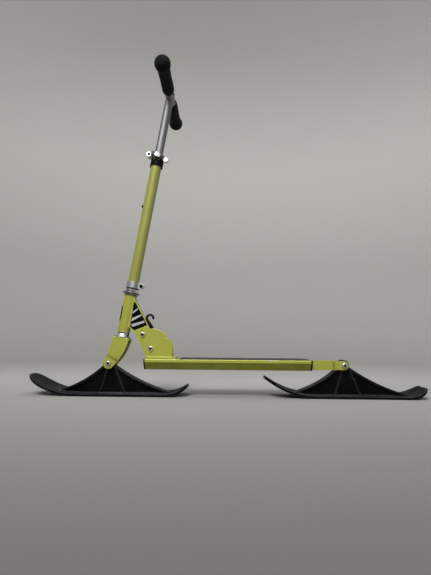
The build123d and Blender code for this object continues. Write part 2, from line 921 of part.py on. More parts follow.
# Steering tube, with the stem below and the T-bar's tube above in the same bore
steer_tube_bottom = lock_nut_top
steer_tube_radius = steer_tube_diameter / 2
tube_bore = t_tube_diameter / 2 + slide_fit
with BuildPart() as steering_tube:
    with BuildSketch(steer_plane(steer_tube_bottom)):
        Circle(steer_tube_radius)
        Circle(tube_bore, mode=Mode.SUBTRACT)
    extrude(amount=steer_tube_top - steer_tube_bottom)
save(steering_tube.part, "steering_tube")


def clamp_ring(bottom, height, way):
    """A split clamp round the steering tube, its two ears before (-1) or behind (1) it."""
    clamp_radius = steer_tube_radius + clamp_wall
    ear_reach = clamp_radius + ear_length / 2
    with BuildPart() as clamp:
        with BuildSketch(steer_plane(bottom)):
            Circle(clamp_radius)
        extrude(amount=height)
        with BuildSketch(steer_side):
            with Locations((way * ear_reach, bottom + height / 2)):
                Circle(ear_radius)
            with Locations((way * ear_reach / 2, bottom + height / 2)):
                Rectangle(ear_reach, min(height, 2 * ear_radius))
        extrude(amount=ear_width / 2, both=True)
        with BuildSketch(steer_plane(bottom)):
            Circle(steer_tube_radius + slide_fit)
            with Locations((way * ear_reach, 0)):
                Rectangle(2 * ear_reach, clamp_slit)
        extrude(amount=height, mode=Mode.SUBTRACT)
        with BuildSketch(steer_side):
            with Locations((way * ear_reach, bottom + height / 2)):
                Circle(clamp_bolt_diameter / 2 + bolt_play)
        extrude(amount=ear_width, both=True, mode=Mode.SUBTRACT)
    return clamp.part


def clamp_bolt_place(bottom, height, way):
    """The middle of a clamp's bolt, in the side view."""
    reach = way * (steer_tube_radius + clamp_wall + ear_length / 2)
    middle = steer_origin + steer_back * reach + steer_up * (bottom + height / 2)
    return (middle.X, middle.Z)


lower_clamp_bottom = steer_tube_bottom + seat_gap
save(clamp_ring(lower_clamp_bottom, lower_clamp_height, 1), "lower_clamp")
save(
    lateral_bolt(*clamp_bolt_place(lower_clamp_bottom, lower_clamp_height, 1), ear_width / 2,
                 clamp_bolt_diameter, clamp_bolt_head, clamp_bolt_head_height, clamp_bolt_socket,
                 head_sides=(-1,)),
    "lower_clamp_bolt",
)

with BuildPart() as upper_collar:
    with BuildSketch(steer_plane(upper_collar_bottom)):
        Circle(steer_tube_radius + upper_collar_wall)
        Circle(steer_tube_radius + slide_fit, mode=Mode.SUBTRACT)
    extrude(amount=upper_collar_height)
    # Notches round the top edge leave a crown of short fingers
    with BuildSketch(steer_plane(upper_collar_bottom + upper_collar_height)):
        with PolarLocations(steer_tube_radius + upper_collar_wall, collar_notches):
            Rectangle(steer_tube_radius, collar_notch_width)
    extrude(amount=-collar_notch_depth, mode=Mode.SUBTRACT)
    # A short tab points down in front and behind
    with BuildSketch(steer_plane(upper_collar_bottom)):
        Circle(steer_tube_radius + upper_collar_wall)
        Circle(steer_tube_radius + slide_fit, mode=Mode.SUBTRACT)
        Rectangle(3 * steer_tube_diameter, collar_tab_width, mode=Mode.INTERSECT)
    extrude(amount=-collar_tab_length)
save(upper_collar.part, "upper_collar")

quick_clamp_bottom = upper_collar_bottom + upper_collar_height + 1
save(clamp_ring(quick_clamp_bottom, quick_clamp_height, -1), "quick_clamp")
quick_bolt_x, quick_bolt_z = clamp_bolt_place(quick_clamp_bottom, quick_clamp_height, -1)
boss_start = ear_width / 2 + seat_gap
boss_end = boss_start + lever_boss_length

# The quick bolt: its head on the far side, its socketed end in the lever's boss on the near one
with BuildPart() as quick_bolt:
    with BuildSketch(lateral_plane(quick_bolt_x, quick_bolt_z, ear_width / 2)):
        Circle(clamp_bolt_diameter / 2)
    extrude(amount=ear_width / 2 + boss_end)
    with BuildSketch(lateral_plane(quick_bolt_x, quick_bolt_z, ear_width / 2)):
        Circle(clamp_bolt_head / 2)
    extrude(amount=-clamp_bolt_head_height)
    with BuildSketch(lateral_plane(quick_bolt_x, quick_bolt_z, -boss_end)):
        RegularPolygon(clamp_bolt_socket / 2, 6)
    extrude(amount=-bolt_socket_depth, mode=Mode.SUBTRACT)
save(quick_bolt.part, "quick_bolt")

# The quick-release lever: closed, it wraps the near side of its clamp down to the rear
lever_inner = steer_tube_radius + clamp_wall + lever_gap
lever_outer = lever_inner + lever_thickness
lever_turn = radians(steer_lean + lever_tilt)
lever_up = Vector(sin(lever_turn), 0, cos(lever_turn))
lever_back = Vector(cos(lever_turn), 0, -sin(lever_turn))
lever_centre = steer_origin + steer_up * (quick_clamp_bottom + quick_clamp_height / 2)
knob_centre = lever_centre + lever_back * (lever_inner + lever_knob_diameter / 2 - lever_gap / 2)
with BuildPart() as quick_lever:
    with BuildSketch(Plane(origin=lever_centre - lever_up * (lever_height / 2),
                           x_dir=lever_back, z_dir=lever_up)):
        Circle(lever_outer)
        Circle(lever_inner, mode=Mode.SUBTRACT)
        with Locations((0, lever_outer - lever_end_gap)):
            Rectangle(3 * lever_outer, 2 * lever_outer, mode=Mode.SUBTRACT)
        with Locations((-lever_outer, 0)):
            Rectangle(2 * lever_outer, 2 * boss_start, mode=Mode.SUBTRACT)
    extrude(amount=lever_height)
    with BuildSketch(lateral_plane(knob_centre.X, knob_centre.Z, -lever_end_gap)):
        Circle(lever_knob_diameter / 2)
    extrude(amount=lever_knob_length)
    with BuildSketch(lateral_plane(quick_bolt_x, quick_bolt_z, -boss_start)):
        Circle(lever_boss_diameter / 2)
    extrude(amount=lever_boss_length)
    with BuildSketch(lateral_plane(quick_bolt_x, quick_bolt_z, -boss_start)):
        Circle(clamp_bolt_diameter / 2 + bolt_play)
    extrude(amount=lever_boss_length, mode=Mode.SUBTRACT)
save(quick_lever.part, "quick_lever")

with BuildPart() as push_button:
    with BuildSketch(Plane(origin=steer_origin + steer_up * button_height, x_dir=(0, 1, 0),
                           z_dir=-steer_back)):
        Circle(button_diameter / 2)
    extrude(amount=steer_tube_radius + button_rise)
    with BuildSketch(steer_plane(button_height - button_diameter)):
        Circle(steer_tube_radius + bolt_play)
    extrude(amount=2 * button_diameter, mode=Mode.SUBTRACT)
save(push_button.part, "push_button")

# T-bar: the inner tube, the tee across its top, two handles and their grips
t_tube_bottom = steer_tube_top - t_tube_overlap
with BuildPart() as t_tube:
    with BuildSketch(steer_plane(t_tube_bottom)):
        Circle(t_tube_diameter / 2)
        Circle(t_tube_diameter / 2 - t_tube_wall, mode=Mode.SUBTRACT)
    extrude(amount=tee_height - tee_diameter / 2 - t_tube_bottom + 1)
    with BuildSketch(steer_side):
        with Locations((0, tee_height)):
            Circle(tee_diameter / 2)
    extrude(amount=tee_half_length, both=True)
    with BuildSketch(steer_side):
        with Locations((0, tee_height)):
            Circle(handle_tube_diameter / 2 + bolt_play)
    extrude(amount=tee_half_length, both=True, mode=Mode.SUBTRACT)
    # Holes down the tube's front, for the lower handlebar heights
    first_hole = tee_height - tee_diameter - height_hole_diameter
    with BuildSketch(Plane(origin=steer_origin, x_dir=(0, -1, 0), z_dir=-steer_back)):
        for count in range(height_holes):
            with Locations((0, first_hole - count * height_hole_spacing)):
                Circle(height_hole_diameter / 2)
    extrude(amount=t_tube_diameter, mode=Mode.SUBTRACT)
save(t_tube.part, "t_bar")

handle_length = handle_half_width - handle_cover - handle_inner_end
for way, hand in ((-1, "left"), (1, "right")):
    tee_middle = steer_origin + steer_up * tee_height
    with BuildPart() as handle:
        with BuildSketch(lateral_plane(tee_middle.X, tee_middle.Z, way * handle_inner_end)):
            Circle(handle_tube_diameter / 2)
            Circle(handle_tube_diameter / 2 - handle_tube_wall, mode=Mode.SUBTRACT)
        extrude(amount=-way * handle_length)
    save(handle.part, hand + "_handle_tube")
    # Each grip: a sleeve with a bevelled inner end and a faceted ball at the outer end
    grip_start = tee_half_length + grip_gap
    ball_radius = grip_end_diameter / 2
    ball_centre = handle_half_width - ball_radius
    ball_start = asin(grip_diameter / grip_end_diameter)
    with BuildPart() as grip:
        with BuildSketch(Plane(origin=tee_middle, x_dir=(1, 0, 0), z_dir=(0, 0, 1))):
            outline = [
                (0, way * grip_start),
                (grip_diameter / 2 - grip_chamfer, way * grip_start),
                (grip_diameter / 2, way * (grip_start + grip_chamfer)),
            ]
            for count in range(ball_facets + 1):
                turn = ball_start + (pi - ball_start) * count / ball_facets
                outline.append((ball_radius * sin(turn), way * (ball_centre - ball_radius * cos(turn))))
            with BuildLine():
                Polyline(*outline, close=True)
            make_face()
        revolve(axis=Axis(tee_middle, (0, 1, 0)))
        with BuildSketch(lateral_plane(tee_middle.X, tee_middle.Z, way * handle_inner_end)):
            Circle(handle_tube_diameter / 2 + bolt_play)
        extrude(amount=-way * (handle_length + seat_gap), mode=Mode.SUBTRACT)
    save(grip.part, hand + "_grip")

with BuildPart() as snap_buttons:
    with BuildSketch(Plane(origin=tee_middle, x_dir=(0, 1, 0), z_dir=steer_back)):
        with Locations((-snap_button_place, 0), (snap_button_place, 0)):
            Circle(snap_button_diameter / 2)
    extrude(amount=tee_diameter / 2 + snap_button_rise)
    with BuildSketch(lateral_plane(tee_middle.X, tee_middle.Z, 0)):
        Circle(tee_diameter / 2 + bolt_play)
    extrude(amount=tee_half_length, both=True, mode=Mode.SUBTRACT)
save(snap_buttons.part, "snap_buttons")
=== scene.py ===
"""Dresses a folding snow scooter: painted tubes, moulded skis, foam grips and small fittings."""
import json
import math

import bpy
from bpy.props import FloatProperty, FloatVectorProperty, IntProperty, PointerProperty
from mathutils import Matrix, Vector


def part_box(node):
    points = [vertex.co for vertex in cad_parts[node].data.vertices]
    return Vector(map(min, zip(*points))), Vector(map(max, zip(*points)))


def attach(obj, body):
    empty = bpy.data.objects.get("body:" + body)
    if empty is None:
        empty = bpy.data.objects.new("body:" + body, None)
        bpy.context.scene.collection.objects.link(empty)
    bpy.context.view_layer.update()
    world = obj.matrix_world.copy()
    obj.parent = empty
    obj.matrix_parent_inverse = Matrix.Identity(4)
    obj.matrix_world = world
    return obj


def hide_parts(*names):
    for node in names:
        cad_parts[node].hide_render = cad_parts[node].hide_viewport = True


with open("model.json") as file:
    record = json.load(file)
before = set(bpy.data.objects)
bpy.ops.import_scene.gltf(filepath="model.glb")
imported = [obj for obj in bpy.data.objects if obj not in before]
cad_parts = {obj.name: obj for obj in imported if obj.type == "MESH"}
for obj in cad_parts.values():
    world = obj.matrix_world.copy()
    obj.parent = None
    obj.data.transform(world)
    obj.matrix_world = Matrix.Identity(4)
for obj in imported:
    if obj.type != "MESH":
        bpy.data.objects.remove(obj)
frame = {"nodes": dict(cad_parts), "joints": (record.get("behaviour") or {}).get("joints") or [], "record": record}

bl_info = {
    "name": "Snow Scooter Dressing",
    "version": (1, 0, 0),
    "blender": (4, 5, 0),
    "location": "3D View > Sidebar > Scooter",
    "description": "Finishes and small fittings for a folding scooter on skis",
    "category": "Object",
}

MM = 0.001
# Half the width of the neck over its side sheets, in millimetres
NECK_HALF_WIDTH = 13.5
# Material slots of a piece that has a finish of its own on its edges, worn and lightened as a painted highlight,
# or painted shade where it faces down or lies in a crease
MAIN_SLOT = 0
EDGE_SLOT = 1
PAINTED_SHADE_SLOT = 2


# Places read from the frame
def middle(node_name):
    """The middle of a CAD piece's box."""
    low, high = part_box(node_name)
    return (low + high) / 2


def joint(name):
    """A joint of the frame, by its name."""
    return next(one for one in frame["joints"] if one["name"] == name)


FRONT_PIVOT = Vector(joint("front_ski_pitch")["pos_m"])
STEER_UP = Vector(joint("steering")["axis"]).normalized()
STEER_BACK = Vector((STEER_UP.z, 0, -STEER_UP.x))
STEER_POINT = Vector(joint("steering")["pos_m"])
SIDEWAYS = Vector((0, 1, 0))
UPWARDS = Vector((0, 0, 1))
BODY_OF = {
    node: body
    for body, nodes in frame["record"]["behaviour"]["bodies"].items()
    for node in nodes
}


def beside_pivot(back, up, side):
    """A place measured in millimetres back and up from the front ski's pivot."""
    return Vector((FRONT_PIVOT.x + back * MM, side * MM, FRONT_PIVOT.z + up * MM))


def up_steering(distance):
    """A place on the steering axis, in millimetres up from the steering joint's own place."""
    return STEER_POINT + STEER_UP * (distance * MM)


# Settings that a user would change
class FinishSettings(bpy.types.PropertyGroup):
    """Colours of the scooter's finishes."""

    paint: FloatVectorProperty(
        name="Paint", description="Lime paint of the frame", subtype="COLOR",
        size=3, min=0, max=1, default=(0.352, 0.360, 0.058))
    ski: FloatVectorProperty(
        name="Skis", description="Moulded black plastic of the skis", subtype="COLOR",
        size=3, min=0, max=1, default=(0.0020, 0.0022, 0.0025))
    aluminium: FloatVectorProperty(
        name="Aluminium", description="Brushed tubes and clamps", subtype="COLOR",
        size=3, min=0, max=1, default=(0.60, 0.605, 0.62))
    tee: FloatVectorProperty(
        name="Tee", description="Cast tee across the top of the T-bar", subtype="COLOR",
        size=3, min=0, max=1, default=(0.27, 0.265, 0.24))
    steel: FloatVectorProperty(
        name="Steel", description="Bright steel of bolts and headset", subtype="COLOR",
        size=3, min=0, max=1, default=(0.82, 0.82, 0.81))
    black: FloatVectorProperty(
        name="Black parts", description="Black plastic and blackened steel", subtype="COLOR",
        size=3, min=0, max=1, default=(0.0020, 0.0020, 0.0021))
    foam: FloatVectorProperty(
        name="Foam", description="Foam rubber of the grips", subtype="COLOR",
        size=3, min=0, max=1, default=(0.0022, 0.0022, 0.0025))
    stripe: FloatVectorProperty(
        name="Stripes", description="Pale stripes of the neck's side panels", subtype="COLOR",
        size=3, min=0, max=1, default=(0.42, 0.44, 0.43))


class EdgeSettings(bpy.types.PropertyGroup):
    """How far sharp edges are rounded over."""

    sheet: FloatProperty(
        name="Sheet metal", description="Rounding of folded and extruded metal",
        subtype="DISTANCE", unit="LENGTH", min=0, max=0.002, default=0.0006)
    turned: FloatProperty(
        name="Turned metal", description="Rounding of tubes, rings and clamps",
        subtype="DISTANCE", unit="LENGTH", min=0, max=0.002, default=0.0004)
    moulded: FloatProperty(
        name="Moulded plastic", description="Rounding of the skis' edges",
        subtype="DISTANCE", unit="LENGTH", min=0, max=0.002, default=0.0008)
    steps: IntProperty(
        name="Steps", description="Faces across each rounded edge", min=1, max=4, default=2)


class FittingSettings(bpy.types.PropertyGroup):
    """Sizes of the small pieces that are modelled here."""

    weld_radius: FloatProperty(
        name="Weld bead", description="Radius of the beads along the neck's side sheets",
        subtype="DISTANCE", unit="LENGTH", min=0.0005, max=0.003, default=0.0015)
    weld_ripple: FloatProperty(
        name="Weld ripple", description="Length of one ripple of a weld bead",
        subtype="DISTANCE", unit="LENGTH", min=0.001, max=0.006, default=0.0021)
    nut_across: FloatProperty(
        name="Lock nut", description="Width across the flats of the headset's lock nut",
        subtype="DISTANCE", unit="LENGTH", min=0.030, max=0.033, default=0.033)
    # The nut's black ring stands in for the shade in the gap under the clamp
    nut_ring: FloatProperty(
        name="Nut ring", description="Height of the rubber ring on the lock nut",
        subtype="DISTANCE", unit="LENGTH", min=0.001, max=0.005, default=0.0026)
    panel_thickness: FloatProperty(
        name="Panel", description="Thickness of the vinyl on the neck's sides",
        subtype="DISTANCE", unit="LENGTH", min=0.0001, max=0.0005, default=0.00025)
    stripe_thickness: FloatProperty(
        name="Stripe", description="Thickness of the stripes on the vinyl",
        subtype="DISTANCE", unit="LENGTH", min=0.00005, max=0.0003, default=0.0001)
    foam_relief: FloatProperty(
        name="Foam relief", description="How uneven the skin of the foam grips is",
        subtype="DISTANCE", unit="LENGTH", min=0, max=0.001, default=0.0005)


class StageSettings(bpy.types.PropertyGroup):
    """The plain stage, its lamps and the camera."""

    floor: FloatVectorProperty(
        name="Floor", description="Pale grey of the floor and backdrop", subtype="COLOR",
        size=3, min=0, max=1, default=(0.385, 0.376, 0.361))
    key_power: FloatProperty(
        name="Key lamp", description="Power of the large lamp high in front", subtype="POWER",
        unit="POWER", min=0, max=200, default=24.0)
    top_power: FloatProperty(
        name="Top lamp", description="Power of the lamp straight overhead", subtype="POWER",
        unit="POWER", min=0, max=200, default=10.0)
    fill_power: FloatProperty(
        name="Fill lamp", description="Power of the soft lamp low in front", subtype="POWER",
        unit="POWER", min=0, max=200, default=3.5)
    sky: FloatProperty(
        name="Sky", description="Strength of the even light from all round", min=0, max=2,
        default=0.45)
    lens: FloatProperty(
        name="Lens", description="Focal length on a 36 mm frame, in millimetres",
        min=10, max=200, default=27.05)


def finish():
    """The colours in use."""
    return bpy.context.scene.scooter_finish


def edges():
    """The edge roundings in use."""
    return bpy.context.scene.scooter_edges


def fittings():
    """The sizes of small pieces in use."""
    return bpy.context.scene.scooter_fittings


# Materials
def new_material(name):
    """A material with its node tree and its main shader."""
    material = bpy.data.materials.new(name)
    material.use_nodes = True
    return material, material.node_tree, material.node_tree.nodes["Principled BSDF"]


def set_values(node, **values):
    """Sets a node's input values, given by the names of its sockets."""
    for socket, value in values.items():
        node.inputs[socket.replace("_", " ")].default_value = value


def add_node(tree, kind, **values):
    """A node of one kind with its input values."""
    node = tree.nodes.new(kind)
    set_values(node, **values)
    return node


def object_place(tree, stretch=(1, 1, 1), turn=(0, 0, 0)):
    """Object coordinates, stretched and turned for a pattern with a grain."""
    source = tree.nodes.new("ShaderNodeTexCoord")
    mapping = add_node(tree, "ShaderNodeMapping", Scale=stretch, Rotation=turn)
    tree.links.new(source.outputs["Object"], mapping.inputs["Vector"])
    return mapping.outputs["Vector"]


def noise(tree, scale, detail=3.0, roughness=0.5, stretch=(1, 1, 1), turn=(0, 0, 0)):
    """A cloudy pattern, about 1 / scale metres across, with a grain where it is stretched."""
    node = add_node(tree, "ShaderNodeTexNoise", Scale=scale, Detail=detail, Roughness=roughness)
    tree.links.new(object_place(tree, stretch, turn), node.inputs["Vector"])
    return node.outputs["Fac"]


def cells(tree, scale):
    """Distance to the nearest of many scattered points, about 1 / scale metres apart."""
    node = add_node(tree, "ShaderNodeTexVoronoi", Scale=scale)
    tree.links.new(object_place(tree), node.inputs["Vector"])
    return node.outputs["Distance"]


def spread(tree, value, start, end, low=0.0, high=1.0):
    """Maps a pattern's values from start and end to low and high."""
    node = add_node(tree, "ShaderNodeMapRange", From_Min=start, From_Max=end, To_Min=low, To_Max=high)
    tree.links.new(value, node.inputs["Value"])
    return node.outputs["Result"]


def blend_colours(tree, share, first, second):
    """Mixes two colours, or a colour over what comes before, by a pattern."""
    node = tree.nodes.new("ShaderNodeMix")
    node.data_type = "RGBA"
    tree.links.new(share, node.inputs["Factor"])
    for socket, colour in ((node.inputs[6], first), (node.inputs[7], second)):
        if isinstance(colour, bpy.types.NodeSocket):
            tree.links.new(colour, socket)
        else:
            socket.default_value = (*colour, 1)
    return node.outputs[2]


def colour_surface(tree, shader, share, first, second):
    """Gives a surface two colours, mixed by a pattern."""
    tree.links.new(blend_colours(tree, share, first, second), shader.inputs["Base Color"])


def uneven_roughness(tree, shader, pattern, smoothest, roughest):
    """Lets a surface's roughness follow a pattern between two values."""
    tree.links.new(spread(tree, pattern, 0.3, 0.7, smoothest, roughest), shader.inputs["Roughness"])


def raise_surface(tree, shader, height, distance, strength=1.0):
    """Raises a surface's fine relief by a pattern, distance metres at most."""
    bump = add_node(tree, "ShaderNodeBump", Strength=strength, Distance=distance)
    tree.links.new(height, bump.inputs["Height"])
    tree.links.new(bump.outputs["Normal"], shader.inputs["Normal"])


def scaled(colour, factor):
    """A colour made lighter or darker."""
    return tuple(min(1.0, part * factor) for part in colour)


def scratches(tree, grain):
    """Fine scattered scratches along one direction, in patches a few centimetres across."""
    lines = noise(tree, 1.0, 2.0, stretch=grain)
    patches = noise(tree, 14.0, 2.0)
    fine = spread(tree, lines, 0.68, 0.72)
    share = spread(tree, patches, 0.50, 0.62)
    both = tree.nodes.new("ShaderNodeMath")
    both.operation = "MULTIPLY"
    tree.links.new(fine, both.inputs[0])
    tree.links.new(share, both.inputs[1])
    return both.outputs["Value"]


def satin_paint(name, colour):
    """Satin paint over aluminium, a little uneven, with hairline scratches."""
    material, tree, shader = new_material(name)
    broad = spread(tree, noise(tree, 16.0), 0.35, 0.65)
    tone = blend_colours(tree, broad, scaled(colour, 0.94), scaled(colour, 1.04))
    marks = scratches(tree, (60, 60, 900))
    colour_surface(tree, shader, marks, tone, scaled(colour, 1.5))
    uneven_roughness(tree, shader, noise(tree, 60.0), 0.36, 0.48)
    set_values(shader, Metallic=0.12, Specular_IOR_Level=0.25, Coat_Weight=0.15, Coat_Roughness=0.18)
    raise_surface(tree, shader, noise(tree, 850.0, 2.0), 0.03 * MM)
    return material


def lime_paint():
    """The frame's lime paint."""
    return satin_paint("lime_paint", tuple(finish().paint))


def tube_paint():
    """The steering tube's paint, a shade deeper and greyer than the frame's."""
    red, green, blue = finish().paint
    return satin_paint("tube_paint", (red * 0.78, green * 0.78, blue * 1.15))


def painted_shade_paint():
    """Lime paint darkened as painted shade, under the deck and in the fork's creases."""
    material, tree, shader = new_material("painted_shade_paint")
    colour = tuple(finish().paint)
    # Painted shade, mottled: the paint at 0.70 to 0.56 of its colour
    shade_mottle = spread(tree, noise(tree, 35.0, 5.0), 0.35, 0.70)
    colour_surface(tree, shader, shade_mottle, scaled(colour, 0.70), scaled(colour, 0.56))
    set_values(shader, Roughness=0.55, Specular_IOR_Level=0.2)
    raise_surface(tree, shader, noise(tree, 700.0, 4.0), 0.05 * MM)
    return material


def worn_edge_and_highlight():
    """Paint along the edges, worn thin and lightened as a painted highlight, with bare metal here and there."""
    material, tree, shader = new_material("worn_edge_and_highlight")
    colour = tuple(finish().paint)
    bare = spread(tree, noise(tree, 130.0), 0.60, 0.68)
    # The paint made 1.55 times lighter is a painted highlight; the bare metal is wear
    colour_surface(tree, shader, bare, scaled(colour, 1.55), tuple(finish().aluminium))
    tree.links.new(bare, shader.inputs["Metallic"])
    set_values(shader, Roughness=0.30)
    raise_surface(tree, shader, noise(tree, 900.0, 2.0), 0.05 * MM)
    return material


def ski_plastic():
    """Black moulded plastic with a fine grain and scuffs along the running direction."""
    material, tree, shader = new_material("ski_plastic")
    colour = tuple(finish().ski)
    scuffs = scratches(tree, (22, 1400, 1400))
    dust = spread(tree, noise(tree, 22.0, 5.0), 0.42, 0.75)
    tone = blend_colours(tree, dust, colour, scaled(colour, 2.2))
    colour_surface(tree, shader, scuffs, tone, scaled(colour, 9.0))
    uneven_roughness(tree, shader, noise(tree, 45.0, 4.0), 0.36, 0.54)
    set_values(shader, Specular_IOR_Level=0.06)
    raise_surface(tree, shader, noise(tree, 1500.0, 2.0), 0.08 * MM)
    return material


def rubbed_plastic_and_highlight():
    """Edges of the skis, rubbed grey and smooth by snow and gravel, and lightened further as a painted highlight
    along the lip.
    """
    material, tree, shader = new_material("rubbed_plastic_and_highlight")
    # Painted highlight: the edges made many times paler than the skis' own black
    colour = scaled(tuple(finish().ski), 8.0)
    wear = spread(tree, noise(tree, 90.0, 4.0), 0.40, 0.65)
    colour_surface(tree, shader, wear, colour, scaled(colour, 3.0))
    set_values(shader, Roughness=0.30, Specular_IOR_Level=0.45)
    raise_surface(tree, shader, noise(tree, 1500.0, 2.0), 0.05 * MM)
    return material


def metal(name, colour, grain, rough, streak=0.06, turn=(0, 0, 0)):
    """Bare metal with a drawn or brushed grain, finer across than along."""
    material, tree, shader = new_material(name)
    lines = noise(tree, 1.0, 4.0, 0.6, stretch=grain, turn=turn)
    colour_surface(tree, shader, lines, scaled(colour, 1 - streak), scaled(colour, 1 + streak))
    uneven_roughness(tree, shader, lines, rough * 0.8, rough * 1.25)
    set_values(shader, Metallic=1.0)
    raise_surface(tree, shader, lines, 0.02 * MM)
    return material


def drawn_aluminium():
    """The T-bar's tubes, with drawing lines along the steering axis."""
    lean = (0, -math.atan2(STEER_UP.x, STEER_UP.z), 0)
    colour = scaled(tuple(finish().aluminium), 0.36)
    return metal("drawn_aluminium", colour, (2400, 2400, 14), 0.56, turn=lean)


def cross_aluminium():
    """Handle tubes, with drawing lines across the scooter."""
    return metal("cross_aluminium", tuple(finish().aluminium), (2400, 14, 2400), 0.32)


def cast_tee():
    """The tee, dull cast metal with a sandy skin."""
    material, tree, shader = new_material("cast_tee")
    colour = tuple(finish().tee)
    mottle = noise(tree, 380.0, 5.0, 0.65)
    colour_surface(tree, shader, mottle, scaled(colour, 0.7), scaled(colour, 1.35))
    set_values(shader, Metallic=0.7, Roughness=0.46)
    raise_surface(tree, shader, noise(tree, 900.0, 4.0), 0.15 * MM)
    return material


def bright_steel():
    """Bolts and the headset's nut."""
    return metal("bright_steel", tuple(finish().steel), (700, 700, 700), 0.22)


def lever_steel_painted_dark():
    """The quick-release lever and the latch's pin, plated steel darkened as a painted dark reflection."""
    # Painted dark reflection: the steel at 0.42 of its brightness
    return metal("lever_steel_painted_dark", scaled(tuple(finish().steel), 0.42), (600, 600, 600), 0.20, streak=0.12)


def socket_shadow():
    """Dark metal, painted shade inside a bolt's socket and round it on the near end."""
    return metal("socket_shadow", (0.012, 0.012, 0.012), (600, 600, 600), 0.5)


def chrome():
    """The polished headset cups."""
    return metal("chrome", (0.80, 0.80, 0.81), (500, 500, 500), 0.10, streak=0.02)


def clamp_metal():
    """Cast clamps, tumbled to a satin skin."""
    return metal("clamp_metal", tuple(finish().aluminium), (900, 900, 900), 0.38, streak=0.10)


def chrome_painted_dark():
    """The upper headset cup, its chrome darkened all over as a painted dark reflection."""
    # Painted dark reflection: the steel at 0.28 of its brightness
    return metal("chrome_painted_dark", scaled(tuple(finish().steel), 0.28), (700, 700, 700), 0.26, streak=0.12)


def black_plastic():
    """End caps, collar, push button and the blank badge."""
    material, tree, shader = new_material("black_plastic")
    colour = tuple(finish().black)
    tone = noise(tree, 120.0, 4.0)
    colour_surface(tree, shader, tone, colour, scaled(colour, 2.2))
    set_values(shader, Roughness=0.46, Specular_IOR_Level=0.05)
    raise_surface(tree, shader, noise(tree, 2200.0, 2.0), 0.06 * MM)
    return material


def black_steel():
    """The hooked release lever, blackened steel with a dull shine."""
    material, tree, shader = new_material("black_steel")
    colour = tuple(finish().black)
    rubbed = spread(tree, noise(tree, 150.0, 4.0), 0.50, 0.75)
    colour_surface(tree, shader, rubbed, colour, scaled(colour, 5.0))
    tree.links.new(rubbed, shader.inputs["Metallic"])
    set_values(shader, Roughness=0.36, Specular_IOR_Level=0.25)
    raise_surface(tree, shader, noise(tree, 1200.0, 2.0), 0.05 * MM)
    return material


def foam_rubber():
    """Closed-cell foam with open pores and a dull bloom."""
    material, tree, shader = new_material("foam_rubber")
    colour = tuple(finish().foam)
    pores = cells(tree, 1500.0)
    bloom = spread(tree, noise(tree, 45.0, 4.0), 0.35, 0.75)
    colour_surface(tree, shader, bloom, colour, scaled(colour, 2.6))
    set_values(shader, Roughness=0.88, Specular_IOR_Level=0.15, Sheen_Weight=0.02)
    raise_surface(tree, shader, pores, 0.35 * MM, 0.8)
    return material


def sanded_tape():
    """Black grip tape: coarse grit with a few grains painted bright as glints, worn paler where feet stand."""
    material, tree, shader = new_material("sanded_tape")
    colour = tuple(finish().black)
    grit = noise(tree, 1700.0, 4.0, 0.7)
    worn = spread(tree, noise(tree, 11.0, 3.0), 0.45, 0.70)
    # Painted glints: scattered specks of pale grey in the grit
    painted_glints = spread(tree, noise(tree, 2600.0, 1.0), 0.70, 0.74)
    tone = blend_colours(tree, worn, scaled(colour, 1.6), scaled(colour, 5.0))
    colour_surface(tree, shader, painted_glints, tone, (0.30, 0.30, 0.30))
    set_values(shader, Roughness=0.82, Sheen_Weight=0.12, Sheen_Roughness=0.25)
    raise_surface(tree, shader, grit, 0.45 * MM)
    return material


def panel_vinyl():
    """The black vinyl of the neck's side panels."""
    material, tree, shader = new_material("panel_vinyl")
    colour = tuple(finish().black)
    tone = noise(tree, 70.0, 3.0)
    colour_surface(tree, shader, tone, colour, scaled(colour, 1.8))
    set_values(shader, Roughness=0.24, Specular_IOR_Level=0.20)
    raise_surface(tree, shader, noise(tree, 500.0, 2.0), 0.03 * MM)
    return material


def stripe_vinyl():
    """The pale stripes on the panels, a little faded."""
    material, tree, shader = new_material("stripe_vinyl")
    colour = tuple(finish().stripe)
    tone = noise(tree, 160.0, 4.0)
    colour_surface(tree, shader, tone, scaled(colour, 0.75), scaled(colour, 1.15))
    set_values(shader, Roughness=0.30)
    raise_surface(tree, shader, noise(tree, 500.0, 2.0), 0.03 * MM)
    return material


MADE = {}


def material_of(maker):
    """The material that a function makes, made once and kept."""
    if maker not in MADE:
        MADE[maker] = maker()
    return MADE[maker]


# Modelling by hand
def leave_edit_mode():
    """Goes back to object mode, if an object is being edited."""
    if bpy.context.object and bpy.context.object.mode != "OBJECT":
        bpy.ops.object.mode_set(mode="OBJECT")


def select_only(piece):
    """Selects one object and nothing else."""
    leave_edit_mode()
    bpy.ops.object.select_all(action="DESELECT")
    piece.select_set(True)
    bpy.context.view_layer.objects.active = piece


def deselect():
    """Selects nothing."""
    leave_edit_mode()
    bpy.ops.object.select_all(action="DESELECT")


def keep_place(piece):
    """Moves a piece's place into its mesh, so that its object sits at the origin."""
    select_only(piece)
    bpy.ops.object.transform_apply(location=True, rotation=True, scale=True)


def smooth(piece, angle=35):
    """Shades a piece smooth across its gentle edges."""
    select_only(piece)
    bpy.ops.object.shade_smooth_by_angle(angle=math.radians(angle))


def apply_modifier(piece, modifier):
    """Turns a modifier's result into the piece's own mesh."""
    select_only(piece)
    bpy.ops.object.modifier_apply(modifier=modifier.name)


def round_edges(piece, width, steps=2, angle=30, edge_slot=MAIN_SLOT):
    """Rounds a piece's sharp edges over; edge_slot is the material slot of the new faces."""
    bevel = piece.modifiers.new("rounded edges", "BEVEL")
    bevel.width = width
    bevel.segments = steps
    bevel.limit_method = "ANGLE"
    bevel.angle_limit = math.radians(angle)
    bevel.use_clamp_overlap = False
    bevel.harden_normals = False
    bevel.material = edge_slot
    apply_modifier(piece, bevel)


